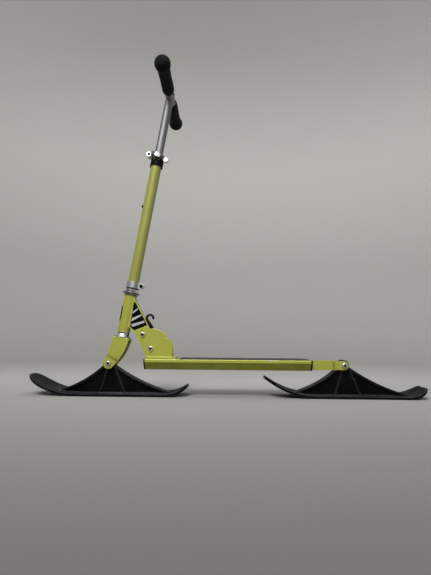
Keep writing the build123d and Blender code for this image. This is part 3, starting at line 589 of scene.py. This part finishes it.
def trace(name, points, filled=False):
    """Draws a line through points by extruding one corner on to each, and may fill it."""
    deselect()
    bpy.ops.mesh.primitive_plane_add(size=MM, location=points[0])
    piece = bpy.context.object
    piece.name = name
    keep_place(piece)
    bpy.ops.object.mode_set(mode="EDIT")
    bpy.ops.mesh.select_mode(type="VERT")
    bpy.ops.mesh.select_all(action="SELECT")
    bpy.ops.mesh.merge(type="CENTER")
    for here, there in zip(points, points[1:]):
        bpy.ops.mesh.extrude_vertices_move(TRANSFORM_OT_translate={"value": there - here})
    if filled:
        bpy.ops.mesh.select_all(action="SELECT")
        bpy.ops.mesh.edge_face_add()
    bpy.ops.object.mode_set(mode="OBJECT")
    return piece


def turn_profile(name, profile, centre, along, across, steps=64):
    """Spins a closed profile, given as (distance along, radius) in millimetres, about an axis."""
    points = [centre + along * (run * MM) + across * (radius * MM) for run, radius in profile]
    piece = trace(name, points + points[:1])
    bpy.ops.object.mode_set(mode="EDIT")
    bpy.ops.mesh.select_all(action="SELECT")
    bpy.ops.mesh.remove_doubles(threshold=MM * 0.001)
    bpy.ops.mesh.spin(steps=steps, angle=2 * math.pi, center=centre, axis=along)
    bpy.ops.mesh.select_all(action="SELECT")
    bpy.ops.mesh.remove_doubles(threshold=MM * 0.01)
    bpy.ops.mesh.normals_make_consistent(inside=False)
    bpy.ops.object.mode_set(mode="OBJECT")
    smooth(piece)
    return piece


def thicken(piece, offset):
    """Extrudes a flat filled piece by an offset, to a closed slab."""
    select_only(piece)
    bpy.ops.object.mode_set(mode="EDIT")
    bpy.ops.mesh.select_all(action="SELECT")
    bpy.ops.mesh.extrude_region_move(TRANSFORM_OT_translate={"value": offset})
    bpy.ops.mesh.select_all(action="SELECT")
    bpy.ops.mesh.normals_make_consistent(inside=False)
    bpy.ops.object.mode_set(mode="OBJECT")


def join(pieces, name):
    """Joins several meshes into one piece."""
    select_only(pieces[0])
    for piece in pieces[1:]:
        piece.select_set(True)
    bpy.ops.object.join()
    pieces[0].name = name
    return pieces[0]


def finish_piece(piece, makers, *nodes, body=None, slot=None):
    """Gives a piece its materials, the body that it rides on and the CAD pieces it stands for."""
    if not piece.data.materials:
        for maker in makers:
            piece.data.materials.append(material_of(maker))
    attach(piece, body or BODY_OF[nodes[0]])
    if nodes:
        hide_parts(*nodes)
    return piece


def softened(node_name, width, makers, edge_slot=MAIN_SLOT):
    """A copy of a CAD piece with its flats joined up and its sharp edges rounded over."""
    source = frame["nodes"][node_name]
    piece = bpy.data.objects.new(node_name + "_finished", source.data.copy())
    bpy.context.scene.collection.objects.link(piece)
    piece.data.materials.clear()
    for maker in makers:
        piece.data.materials.append(material_of(maker))
    select_only(piece)
    bpy.ops.mesh.customdata_custom_splitnormals_clear()
    bpy.ops.object.mode_set(mode="EDIT")
    bpy.ops.mesh.select_all(action="SELECT")
    bpy.ops.mesh.remove_doubles(threshold=MM * 0.002)
    bpy.ops.mesh.dissolve_limited(angle_limit=math.radians(0.4))
    bpy.ops.object.mode_set(mode="OBJECT")
    for face in piece.data.polygons:
        face.material_index = MAIN_SLOT
    round_edges(piece, width, edges().steps, edge_slot=edge_slot)
    smooth(piece)
    # Large faces keep their own direction, so that the shading of a rounded edge stays beside it
    weighted = piece.modifiers.new("weighted normals", "WEIGHTED_NORMAL")
    weighted.keep_sharp = True
    apply_modifier(piece, weighted)
    return finish_piece(piece, makers, node_name)


# Operators, one for each piece or group of like pieces
PAINTED = ("deck", "fold_bracket", "rear_bracket", "neck", "fork")


class SCOOTER_OT_painted_frame(bpy.types.Operator):
    """Deck, brackets, neck, fork and steering tube in satin lime paint, with worn edges lightened as a painted
    highlight and painted shade under the deck and in creases
    """

    bl_idname = "scooter.painted_frame"
    bl_label = "Painted frame"

    def execute(self, context):
        makers = (lime_paint, worn_edge_and_highlight, painted_shade_paint)
        painted = {
            node_name: softened(node_name, edges().sheet, makers, edge_slot=EDGE_SLOT)
            for node_name in PAINTED
        }
        softened("steering_tube", edges().turned, (tube_paint, worn_edge_and_highlight), edge_slot=EDGE_SLOT)
        # The deck's rounded top edges get the edge paint, worn and lightened as a painted highlight, and its
        # flanks and underside that face down get painted shade
        flank, flat, below = 0.15, 0.97, -0.05
        for face in painted["deck"].data.polygons:
            if flank < face.normal.z < flat:
                face.material_index = EDGE_SLOT
            elif face.normal.z < below:
                face.material_index = PAINTED_SHADE_SLOT
        # Painted shade in the low slopes where the side plates step in to the skis
        steepest, gentlest = 0.88, 0.94
        highest = 0.1
        for node_name in ("fork", "rear_bracket"):
            for face in painted[node_name].data.polygons:
                if steepest < abs(face.normal.y) < gentlest and face.center.z < highest:
                    face.material_index = PAINTED_SHADE_SLOT
        return {"FINISHED"}


class SCOOTER_OT_neck_welds(bpy.types.Operator):
    """Rippled weld beads where the neck's side sheets meet the head tube"""

    bl_idname = "scooter.neck_welds"
    bl_label = "Neck welds"

    def execute(self, context):
        # Millimetres; a bead's ends are measured up the steering axis
        tube_radius = 15.5
        bead_start = 1.5
        bead_end = 67.0
        bead_radius = fittings().weld_radius / MM
        ripple = fittings().weld_ripple / MM
        crest = 0.14
        back = math.sqrt(tube_radius ** 2 - NECK_HALF_WIDTH ** 2)
        beads = round((bead_end - bead_start) / ripple)
        profile = [(bead_start, 0.0)]
        for count in range(beads):
            run = bead_start + ripple * count
            profile.append((run + 0.1 * ripple, bead_radius - crest))
            profile.append((run + 0.4 * ripple, bead_radius))
            profile.append((run + 0.8 * ripple, bead_radius - 0.3 * crest))
        profile.append((bead_start + ripple * beads, 0.0))
        for way, hand in ((-1, "left"), (1, "right")):
            side = SIDEWAYS * (way * NECK_HALF_WIDTH * MM)
            place = up_steering(0) + STEER_BACK * (back * MM) + side
            bead = turn_profile(hand + "_neck_weld", profile, place, STEER_UP, STEER_BACK, steps=14)
            smooth(bead, angle=60)
            finish_piece(bead, (lime_paint,), body="neck", slot="green_paint")
        return {"FINISHED"}


class SCOOTER_OT_skis(bpy.types.Operator):
    """Both moulded skis, with their lips, webs and ribs rounded over"""

    bl_idname = "scooter.skis"
    bl_label = "Skis"

    def execute(self, context):
        for node_name in ("front_ski", "rear_ski"):
            softened(node_name, edges().moulded, (ski_plastic, rubbed_plastic_and_highlight), edge_slot=EDGE_SLOT)
        return {"FINISHED"}


class SCOOTER_OT_bare_metal(bpy.types.Operator):
    """T-bar, handle tubes, clamps, quick-release lever and the latch's pin in bare metal"""

    bl_idname = "scooter.bare_metal"
    bl_label = "Bare metal"

    def execute(self, context):
        t_bar = softened("t_bar", edges().turned, (drawn_aluminium, cast_tee))
        tee_axis = middle("left_handle_tube")
        tee_reach = 14 * MM
        for face in t_bar.data.polygons:
            away = Vector((face.center.x - tee_axis.x, face.center.z - tee_axis.z))
            face.material_index = 1 if away.length < tee_reach else 0
        for node_name in ("left_handle_tube", "right_handle_tube"):
            softened(node_name, edges().turned, (cross_aluminium,))
        for node_name in ("lower_clamp", "quick_clamp"):
            softened(node_name, edges().turned, (clamp_metal,))
        for node_name in ("quick_lever", "lever_pin"):
            softened(node_name, edges().turned, (lever_steel_painted_dark,))
        return {"FINISHED"}


class SCOOTER_OT_headset(bpy.types.Operator):
    """The flared lower cup and the flanged upper cup, turned and polished, the upper one darkened as a painted
    dark reflection
    """

    bl_idname = "scooter.headset"
    bl_label = "Headset"

    def execute(self, context):
        # Each cup: node, material, its foot's height on the axis, its profile as distance up, radius
        cups = (
            ("lower_headset_cup", chrome, -34.0, (
                (0.0, 11.2), (0.0, 20.9), (0.3, 21.6), (1.0, 21.95), (4.0, 21.95), (4.7, 21.6),
                (5.2, 20.9), (5.6, 19.8), (6.4, 18.5), (7.6, 17.5), (9.2, 16.8), (10.6, 16.6),
                (11.0, 16.2), (11.5, 16.2), (11.9, 16.6), (14.2, 16.6), (14.5, 16.3), (14.5, 11.2))),
            ("upper_headset_cup", chrome_painted_dark, 74.5, (
                (0.0, 11.2), (0.0, 16.1), (0.4, 16.5), (1.4, 16.7), (3.0, 17.6), (5.0, 19.6),
                (6.8, 21.8), (7.9, 23.1), (8.5, 23.45), (9.0, 23.2), (9.0, 22.5), (8.2, 21.5),
                (6.6, 19.4), (6.0, 18.3), (6.0, 11.2))),
        )
        for node_name, maker, foot, profile in cups:
            cup = turn_profile(node_name + "_turned", profile, up_steering(foot), STEER_UP,
                               STEER_BACK)
            finish_piece(cup, (maker,), node_name)
        return {"FINISHED"}


class SCOOTER_OT_lock_nut(bpy.types.Operator):
    """The headset's eight-sided lock nut, with a black ring on top that stands in for the shade in the gap under
    the clamp
    """

    bl_idname = "scooter.lock_nut"
    bl_label = "Lock nut"

    def execute(self, context):
        # Millimetres
        foot = up_steering(80.8)
        sides = 8
        bore = 11.3
        chamfer = 0.9
        across = fittings().nut_across / MM
        ring_height = fittings().nut_ring / MM
        nut_height = 14.0 - ring_height
        corner = across / 2 / math.cos(math.pi / sides)
        # The nut starts as a turned blank with bevelled corners, and the flats are cut from it
        blank = (
            (0, bore), (0, corner - chamfer), (chamfer, corner), (nut_height - chamfer, corner),
            (nut_height, corner - 1.6), (nut_height, bore),
        )
        nut = turn_profile("lock_nut_turned", blank, foot, STEER_UP, STEER_BACK, steps=96)
        for count in range(sides):
            turn = 2 * math.pi * count / sides + math.pi / sides
            out = STEER_BACK * math.cos(turn) + SIDEWAYS * math.sin(turn)
            select_only(nut)
            bpy.ops.object.mode_set(mode="EDIT")
            bpy.ops.mesh.select_all(action="SELECT")
            bpy.ops.mesh.bisect(plane_co=foot + out * (across / 2 * MM), plane_no=out,
                                use_fill=True, clear_outer=True)
            bpy.ops.object.mode_set(mode="OBJECT")
        round_edges(nut, 0.15 * MM, steps=1, angle=25)
        smooth(nut, angle=25)
        finish_piece(nut, (bright_steel,), "lock_nut")
        # Black ring on the nut, standing in for the shaded gap under the clamp
        band = (
            (0, bore), (0, 15.2), (0.4, 15.8), (ring_height - 0.4, 15.8), (ring_height, 15.3),
            (ring_height, bore),
        )
        ring = turn_profile("lock_nut_ring", band, foot + STEER_UP * (nut_height * MM), STEER_UP,
                            STEER_BACK, steps=72)
        finish_piece(ring, (black_plastic,), body="steerer", slot="black_plastic")
        return {"FINISHED"}


class SCOOTER_OT_black_fittings(bpy.types.Operator):
    """End caps, upper collar, push button, blank badge and the hooked release lever"""

    bl_idname = "scooter.black_fittings"
    bl_label = "Black fittings"

    def execute(self, context):
        for node_name in ("front_end_cap", "rear_end_cap", "upper_collar", "push_button", "front_badge"):
            softened(node_name, edges().turned, (black_plastic,))
        softened("release_lever", edges().sheet, (black_steel,))
        return {"FINISHED"}


class SCOOTER_OT_grip_tape(bpy.types.Operator):
    """The sanded sheet on the deck"""

    bl_idname = "scooter.grip_tape"
    bl_label = "Grip tape"

    def execute(self, context):
        softened("grip_tape", 0.2 * MM, (sanded_tape,))
        return {"FINISHED"}


def bolt_head(name, seat, way, radius, height, socket):
    """A washer and a domed head, turned in one, with a deep hexagon socket if it has a size."""
    washer = 0.22 * height
    dome_foot = 1.25 * washer
    crown, shoulder = 0.66 * radius, 0.26 * radius
    dome_steps = 6
    profile = [(0, 0), (0, radius), (washer * 0.7, radius), (washer, radius - 0.25),
               (washer, radius * 0.93)]
    for count in range(dome_steps + 1):
        turn = math.pi / 2 * count / dome_steps
        profile.append((dome_foot + (height - dome_foot) * math.sin(turn),
                        crown + shoulder * math.cos(turn)))
    profile.append((height, 0))
    head = turn_profile(name, profile, seat, SIDEWAYS * way, UPWARDS, steps=48)
    if socket:
        cut_socket(head, seat + SIDEWAYS * (way * height * MM), socket)
    return head


def cut_socket(head, place, across):
    """Sinks a hexagon socket into a head, 0.8 of its width deep."""
    deselect()
    bpy.ops.mesh.primitive_cylinder_add(
        vertices=6, radius=across * MM / 2, depth=across * MM * 1.6, location=place,
        rotation=(math.pi / 2, 0, 0))
    tool = bpy.context.object
    keep_place(tool)
    cut = head.modifiers.new("hexagon socket", "BOOLEAN")
    cut.object = tool
    cut.solver = "EXACT"
    apply_modifier(head, cut)
    bpy.data.objects.remove(tool)


# Each kind of bolt in millimetres: the height of its near and far head, the radius of its shank,
# the width of their sockets, and how far from the axis its near end is painted dark as shade
PIVOT_BOLT = {"heads": (4.5, 4.5), "shank": 3.9, "sockets": (6.2, 0), "dark": 3.3}
CLAMP_BOLT = {"heads": (3.0, 0), "shank": 2.9, "sockets": (4.6, 0), "dark": 4.6}
LEVER_BOLT = {"heads": (0, 3.0), "shank": 2.9, "sockets": (0, 4.0), "dark": 3.0}
BOLTS = {
    "fold_bolt": PIVOT_BOLT,
    "stop_bolt": PIVOT_BOLT,
    "rear_axle_bolt": PIVOT_BOLT,
    "front_axle_bolt": PIVOT_BOLT,
    "lower_clamp_bolt": CLAMP_BOLT,
    "quick_bolt": LEVER_BOLT,
}


class SCOOTER_OT_bolts(bpy.types.Operator):
    """Six bolts, each with its shank, domed heads on washers and hexagon sockets painted dark as shade"""

    bl_idname = "scooter.bolts"
    bl_label = "Bolts"
    # Millimetres: a socket's floor keeps the bright steel this near the axis; beyond it the socket is painted dark
    # as shade
    socket_floor = 0.6
    # Width of the socket in an end that has no head, and how deep the near end reaches
    bare_end_socket = 3.6
    near_reach = 4.5

    def execute(self, context):
        for node_name, kind in BOLTS.items():
            low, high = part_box(node_name)
            axis = (low + high) / 2
            radius = (high.x - low.x) / 2 / MM
            parts = []
            ends = []
            for way, limit, height, socket in zip((-1, 1), (low.y, high.y), kind["heads"],
                                                  kind["sockets"]):
                seat = Vector((axis.x, limit - way * height * MM, axis.z))
                ends.append(seat)
                if height:
                    parts.append(bolt_head(node_name + "_head", seat, way, radius, height, socket))
            shank = self.add_shank(node_name + "_shank", ends, kind["shank"])
            if not kind["heads"][0]:
                cut_socket(shank, ends[0], self.bare_end_socket)
            bolt = join(parts + [shank], node_name + "_turned")
            for face in bolt.data.polygons:
                away = Vector((face.center.x - axis.x, face.center.z - axis.z)).length / MM
                near_end = face.center.y < low.y + self.near_reach * MM
                in_socket = near_end and self.socket_floor < away < kind["dark"]
                # Painted shade: the socket and the near end out to the dark radius take the dark metal
                face.material_index = 1 if in_socket else 0
            smooth(bolt, angle=40)
            finish_piece(bolt, (bright_steel, socket_shadow), node_name)
        return {"FINISHED"}

    def add_shank(self, name, ends, radius):
        """The plain rod of a bolt between its two ends."""
        length = (ends[1] - ends[0]).y / MM
        bevel = 0.4
        profile = ((0, 0), (0, radius - bevel), (bevel, radius), (length - bevel, radius),
                   (length, radius - bevel), (length, 0))
        return turn_profile(name, profile, ends[0], SIDEWAYS, UPWARDS, steps=40)


class SCOOTER_OT_lever_cap(bpy.types.Operator):
    """The black plastic ring round the bolt's end in the quick-release lever's boss"""

    bl_idname = "scooter.lever_cap"
    bl_label = "Lever cap"

    def execute(self, context):
        # Each point: distance out from the boss, radius, in millimetres
        profile = ((0.0, 1.9), (0.0, 4.1), (0.5, 4.1), (0.9, 3.7), (1.0, 3.2), (0.9, 2.5), (0.5, 1.9))
        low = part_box("quick_bolt")[0]
        axis = middle("quick_bolt")
        place = Vector((axis.x, low.y, axis.z))
        cap = turn_profile("lever_cap", profile, place, -SIDEWAYS, UPWARDS, steps=40)
        finish_piece(cap, (black_plastic,), body="steerer", slot="black_plastic")
        return {"FINISHED"}


class SCOOTER_OT_grips(bpy.types.Operator):
    """Two foam grips, waisted sleeves with a ball at the outer end"""

    bl_idname = "scooter.grips"
    bl_label = "Grips"

    def execute(self, context):
        # The sleeve's outline: distance from the inner end, radius, in millimetres
        outline = (
            (0.0, 11.0), (1.2, 13.4), (3.6, 15.0), (8.0, 15.8), (16.0, 16.0), (30.0, 15.9),
            (46.0, 15.6), (62.0, 15.5), (78.0, 15.6), (92.0, 15.8), (100.0, 16.2), (104.5, 17.2),
            (108.0, 18.4), (112.0, 19.4), (116.0, 19.9), (120.0, 19.9), (124.0, 19.2),
            (128.0, 17.6), (131.5, 15.2), (134.5, 12.0), (136.6, 8.0), (137.7, 4.0), (138.0, 0.0),
            (134.0, 0.0), (134.0, 9.7), (0.0, 9.7),
        )
        relief = bpy.data.textures.new("foam relief", "CLOUDS")
        relief.noise_scale = 12 * MM
        for node_name, way in (("left_grip", -1), ("right_grip", 1)):
            low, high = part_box(node_name)
            place = (low + high) / 2
            place.y = high.y if way < 0 else low.y
            grip = turn_profile(node_name + "_foam", outline, place, SIDEWAYS * way, UPWARDS, steps=72)
            fine = grip.modifiers.new("finer rings", "SUBSURF")
            fine.levels = 1
            fine.render_levels = 1
            apply_modifier(grip, fine)
            uneven = grip.modifiers.new("uneven foam", "DISPLACE")
            uneven.texture = relief
            uneven.texture_coords = "LOCAL"
            uneven.strength = fittings().foam_relief
            uneven.mid_level = 0.5
            apply_modifier(grip, uneven)
            smooth(grip, angle=60)
            finish_piece(grip, (foam_rubber,), node_name)
        return {"FINISHED"}


class SCOOTER_OT_snap_buttons(bpy.types.Operator):
    """Two domed spring buttons that hold the handles in the tee"""

    bl_idname = "scooter.snap_buttons"
    bl_label = "Snap buttons"

    def execute(self, context):
        # The dome's profile: distance back from the tee's axis, radius, in millimetres
        dome = ((11.8, 0.0), (11.8, 3.2), (13.4, 3.2), (14.2, 2.8), (14.7, 2.0), (14.95, 1.0),
                (15.0, 0.0))
        tee_axis = middle("left_handle_tube")
        apart = 18 * MM
        buttons = []
        for way in (-1, 1):
            place = Vector((tee_axis.x, way * apart, tee_axis.z))
            buttons.append(turn_profile("snap_button", dome, place, STEER_BACK, SIDEWAYS, steps=32))
        finish_piece(join(buttons, "snap_buttons_domed"), (black_steel,), "snap_buttons")
        return {"FINISHED"}


class SCOOTER_OT_neck_panels(bpy.types.Operator):
    """Black vinyl triangles on both sides of the neck, each with three plain pale stripes"""

    bl_idname = "scooter.neck_panels"
    bl_label = "Neck panels"

    def execute(self, context):
        vinyl = fittings().panel_thickness / MM
        # The panel's corners and the stripes across it: millimetres back and up from the front pivot
        panel = ((58.8, 153.6), (63.0, 155.4), (94.4, 98.0), (92.8, 96.0), (62.6, 83.4), (60.4, 84.6),
                 (51.2, 92.4), (54.6, 122.2))
        stripes = (
            ((56.8, 130.5), (56.2, 125.0), (71.4, 137.2), (70.0, 139.8)),
            ((55.0, 114.0), (54.2, 106.0), (80.4, 120.6), (78.4, 124.2)),
            ((53.8, 98.6), (57.0, 92.0), (88.8, 103.6), (86.4, 108.0)),
        )
        for way, hand in ((-1, "left"), (1, "right")):
            face = NECK_HALF_WIDTH * way
            corners = [beside_pivot(*point, face) for point in panel]
            sheet = trace(hand + "_neck_panel", corners, filled=True)
            thicken(sheet, SIDEWAYS * (way * vinyl * MM))
            finish_piece(sheet, (panel_vinyl,), body="neck", slot="black_plastic")
            bands = []
            for stripe in stripes:
                points = [beside_pivot(*point, face + way * vinyl) for point in stripe]
                bands.append(trace("stripe", points, filled=True))
                thicken(bands[-1], SIDEWAYS * (way * fittings().stripe_thickness))
            band = join(bands, hand + "_neck_stripes")
            finish_piece(band, (stripe_vinyl,), body="neck", slot="black_plastic")
        return {"FINISHED"}


def add_lamp(name, place, size, power, spread_angle=180):
    """A soft round lamp that points at the scooter and lights no wider than its angle."""
    target = Vector((0, 0, 0.3))
    lamp = bpy.data.lights.new(name, "AREA")
    lamp.shape = "DISK"
    lamp.size = size
    lamp.energy = power
    lamp.spread = math.radians(spread_angle)
    holder = bpy.data.objects.new(name, lamp)
    bpy.context.scene.collection.objects.link(holder)
    holder.location = place
    holder.rotation_euler = (target - Vector(place)).to_track_quat("-Z", "Y").to_euler()


class SCOOTER_OT_stage(bpy.types.Operator):
    """A pale floor that curves up into a backdrop all round, soft lamps and the camera"""

    bl_idname = "scooter.stage"
    bl_label = "Stage"

    def execute(self, context):
        settings = context.scene.scooter_stage
        self.add_floor(settings)
        self.add_light(settings)
        self.add_camera(settings)
        context.scene.view_settings.view_transform = "Standard"
        return {"FINISHED"}

    def add_floor(self, settings):
        """A round floor with a quarter-round cove up to its wall, all in one."""
        # Metres
        radius = 2.4
        cove = 0.7
        height = 3.2
        under = 0.01
        cove_steps = 12
        # Each point: height, distance from the middle, in metres
        section = [(-under, 0.0), (0.0, 0.0)]
        for count in range(cove_steps + 1):
            turn = math.pi / 2 * count / cove_steps
            section.append((cove * (1 - math.cos(turn)), radius - cove * (1 - math.sin(turn))))
        section += [(height, radius), (height, radius + under), (-under, radius + under)]
        floor = turn_profile("floor", [(rise / MM, reach / MM) for rise, reach in section],
                             Vector((0, 0, 0)), UPWARDS, Vector((1, 0, 0)), steps=96)
        smooth(floor, angle=60)
        floor.data.materials.append(self.floor_material(tuple(settings.floor)))

    def floor_material(self, colour):
        """A matt pale grey with painted shade towards the key lamp and painted light up the wall."""
        near_shade = 0.2
        wall_shade = 2.1
        material, tree, shader = new_material("pale_floor")
        parts = tree.nodes.new("ShaderNodeSeparateXYZ")
        tree.links.new(object_place(tree), parts.inputs["Vector"])
        tone = noise(tree, 1.6, 2.0)
        pale = blend_colours(tree, tone, scaled(colour, 0.985), scaled(colour, 1.015))
        # Painted shade on the floor by the lamps, where their light would be the brightest, and painted light up
        # the wall, which gets the least of it
        near = spread(tree, parts.outputs["Y"], -1.0, 0.4)
        ground = blend_colours(tree, near, scaled(colour, near_shade), pale)
        high = spread(tree, parts.outputs["Z"], 0.0, 1.5)
        colour_surface(tree, shader, high, ground, scaled(colour, wall_shade))
        set_values(shader, Roughness=0.85)
        return material

    def add_light(self, settings):
        """Three soft lamps and an even sky, bright overhead and dim near the horizon."""
        add_lamp("key_lamp", (-0.6, -1.75, 2.05), 1.3, settings.key_power, spread_angle=110)
        add_lamp("top_lamp", (0.5, 0.1, 2.5), 1.2, settings.top_power)
        add_lamp("fill_lamp", (0.4, -2.1, 1.1), 1.2, settings.fill_power, spread_angle=120)
        world = bpy.data.worlds.new("studio_sky")
        bpy.context.scene.world = world
        world.use_nodes = True
        tree = world.node_tree
        sky = tree.nodes["Background"]
        sky.inputs["Color"].default_value = (0.96, 0.98, 1.0, 1)
        # The dim horizon lets round metal show light and dark
        low, high = 0.35 * settings.sky, 1.6 * settings.sky
        direction = tree.nodes.new("ShaderNodeTexCoord")
        parts = tree.nodes.new("ShaderNodeSeparateXYZ")
        tree.links.new(direction.outputs["Generated"], parts.inputs["Vector"])
        strength = spread(tree, parts.outputs["Z"], 0.0, 0.9, low, high)
        tree.links.new(strength, sky.inputs["Strength"])

    def add_camera(self, settings):
        """The camera at the photograph's viewing angle."""
        # Metres and radians
        place = Vector((-0.0066, -1.1126, 0.1457))
        yaw = -0.01965
        pitch = 0.11463
        roll = 0.00854
        forward = Vector((math.sin(yaw), math.cos(yaw), 0))
        level = Vector((math.cos(yaw), -math.sin(yaw), 0))
        ahead = forward * math.cos(pitch) + UPWARDS * math.sin(pitch)
        upright = level.cross(ahead)
        right = level * math.cos(roll) + upright * math.sin(roll)
        up = upright * math.cos(roll) - level * math.sin(roll)
        lens = bpy.data.cameras.new("camera")
        lens.lens = settings.lens
        lens.sensor_width = 36
        lens.clip_start = 0.01
        camera = bpy.data.objects.new("camera", lens)
        bpy.context.scene.collection.objects.link(camera)
        turn = Matrix((right, up, -ahead)).transposed().to_4x4()
        camera.matrix_world = Matrix.Translation(place) @ turn
        bpy.context.scene.camera = camera


OPERATORS = (
    SCOOTER_OT_stage,
    SCOOTER_OT_painted_frame,
    SCOOTER_OT_neck_welds,
    SCOOTER_OT_skis,
    SCOOTER_OT_bare_metal,
    SCOOTER_OT_headset,
    SCOOTER_OT_lock_nut,
    SCOOTER_OT_black_fittings,
    SCOOTER_OT_grip_tape,
    SCOOTER_OT_bolts,
    SCOOTER_OT_lever_cap,
    SCOOTER_OT_grips,
    SCOOTER_OT_snap_buttons,
    SCOOTER_OT_neck_panels,
)


SETTINGS = {
    "scooter_finish": FinishSettings,
    "scooter_edges": EdgeSettings,
    "scooter_fittings": FittingSettings,
    "scooter_stage": StageSettings,
}


class SCOOTER_PT_dressing(bpy.types.Panel):
    """Lists the scooter's pieces and their settings"""

    bl_label = "Scooter"
    bl_idname = "SCOOTER_PT_dressing"
    bl_space_type = "VIEW_3D"
    bl_region_type = "UI"
    bl_category = "Scooter"

    def draw(self, context):
        """Draws a button for each piece and a box for each group of settings."""
        layout = self.layout
        for one in OPERATORS:
            layout.operator(one.bl_idname)
        for name in SETTINGS:
            group = getattr(context.scene, name)
            box = layout.box()
            for setting in group.bl_rna.properties:
                if setting.identifier not in ("rna_type", "name"):
                    box.prop(group, setting.identifier)


CLASSES = (*SETTINGS.values(), *OPERATORS, SCOOTER_PT_dressing)


def register():
    """Adds the classes to Blender and the settings to every scene."""
    for one in CLASSES:
        bpy.utils.register_class(one)
    for name, group in SETTINGS.items():
        setattr(bpy.types.Scene, name, PointerProperty(type=group))


def unregister():
    """Takes the settings and the classes away again."""
    for name in SETTINGS:
        delattr(bpy.types.Scene, name)
    for one in reversed(CLASSES):
        bpy.utils.unregister_class(one)


def main():
    """Dresses the whole scooter."""
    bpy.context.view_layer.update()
    register()
    for one in OPERATORS:
        group, name = one.bl_idname.split(".")
        getattr(getattr(bpy.ops, group), name)()
    deselect()


if __name__ == "__main__":
    main()
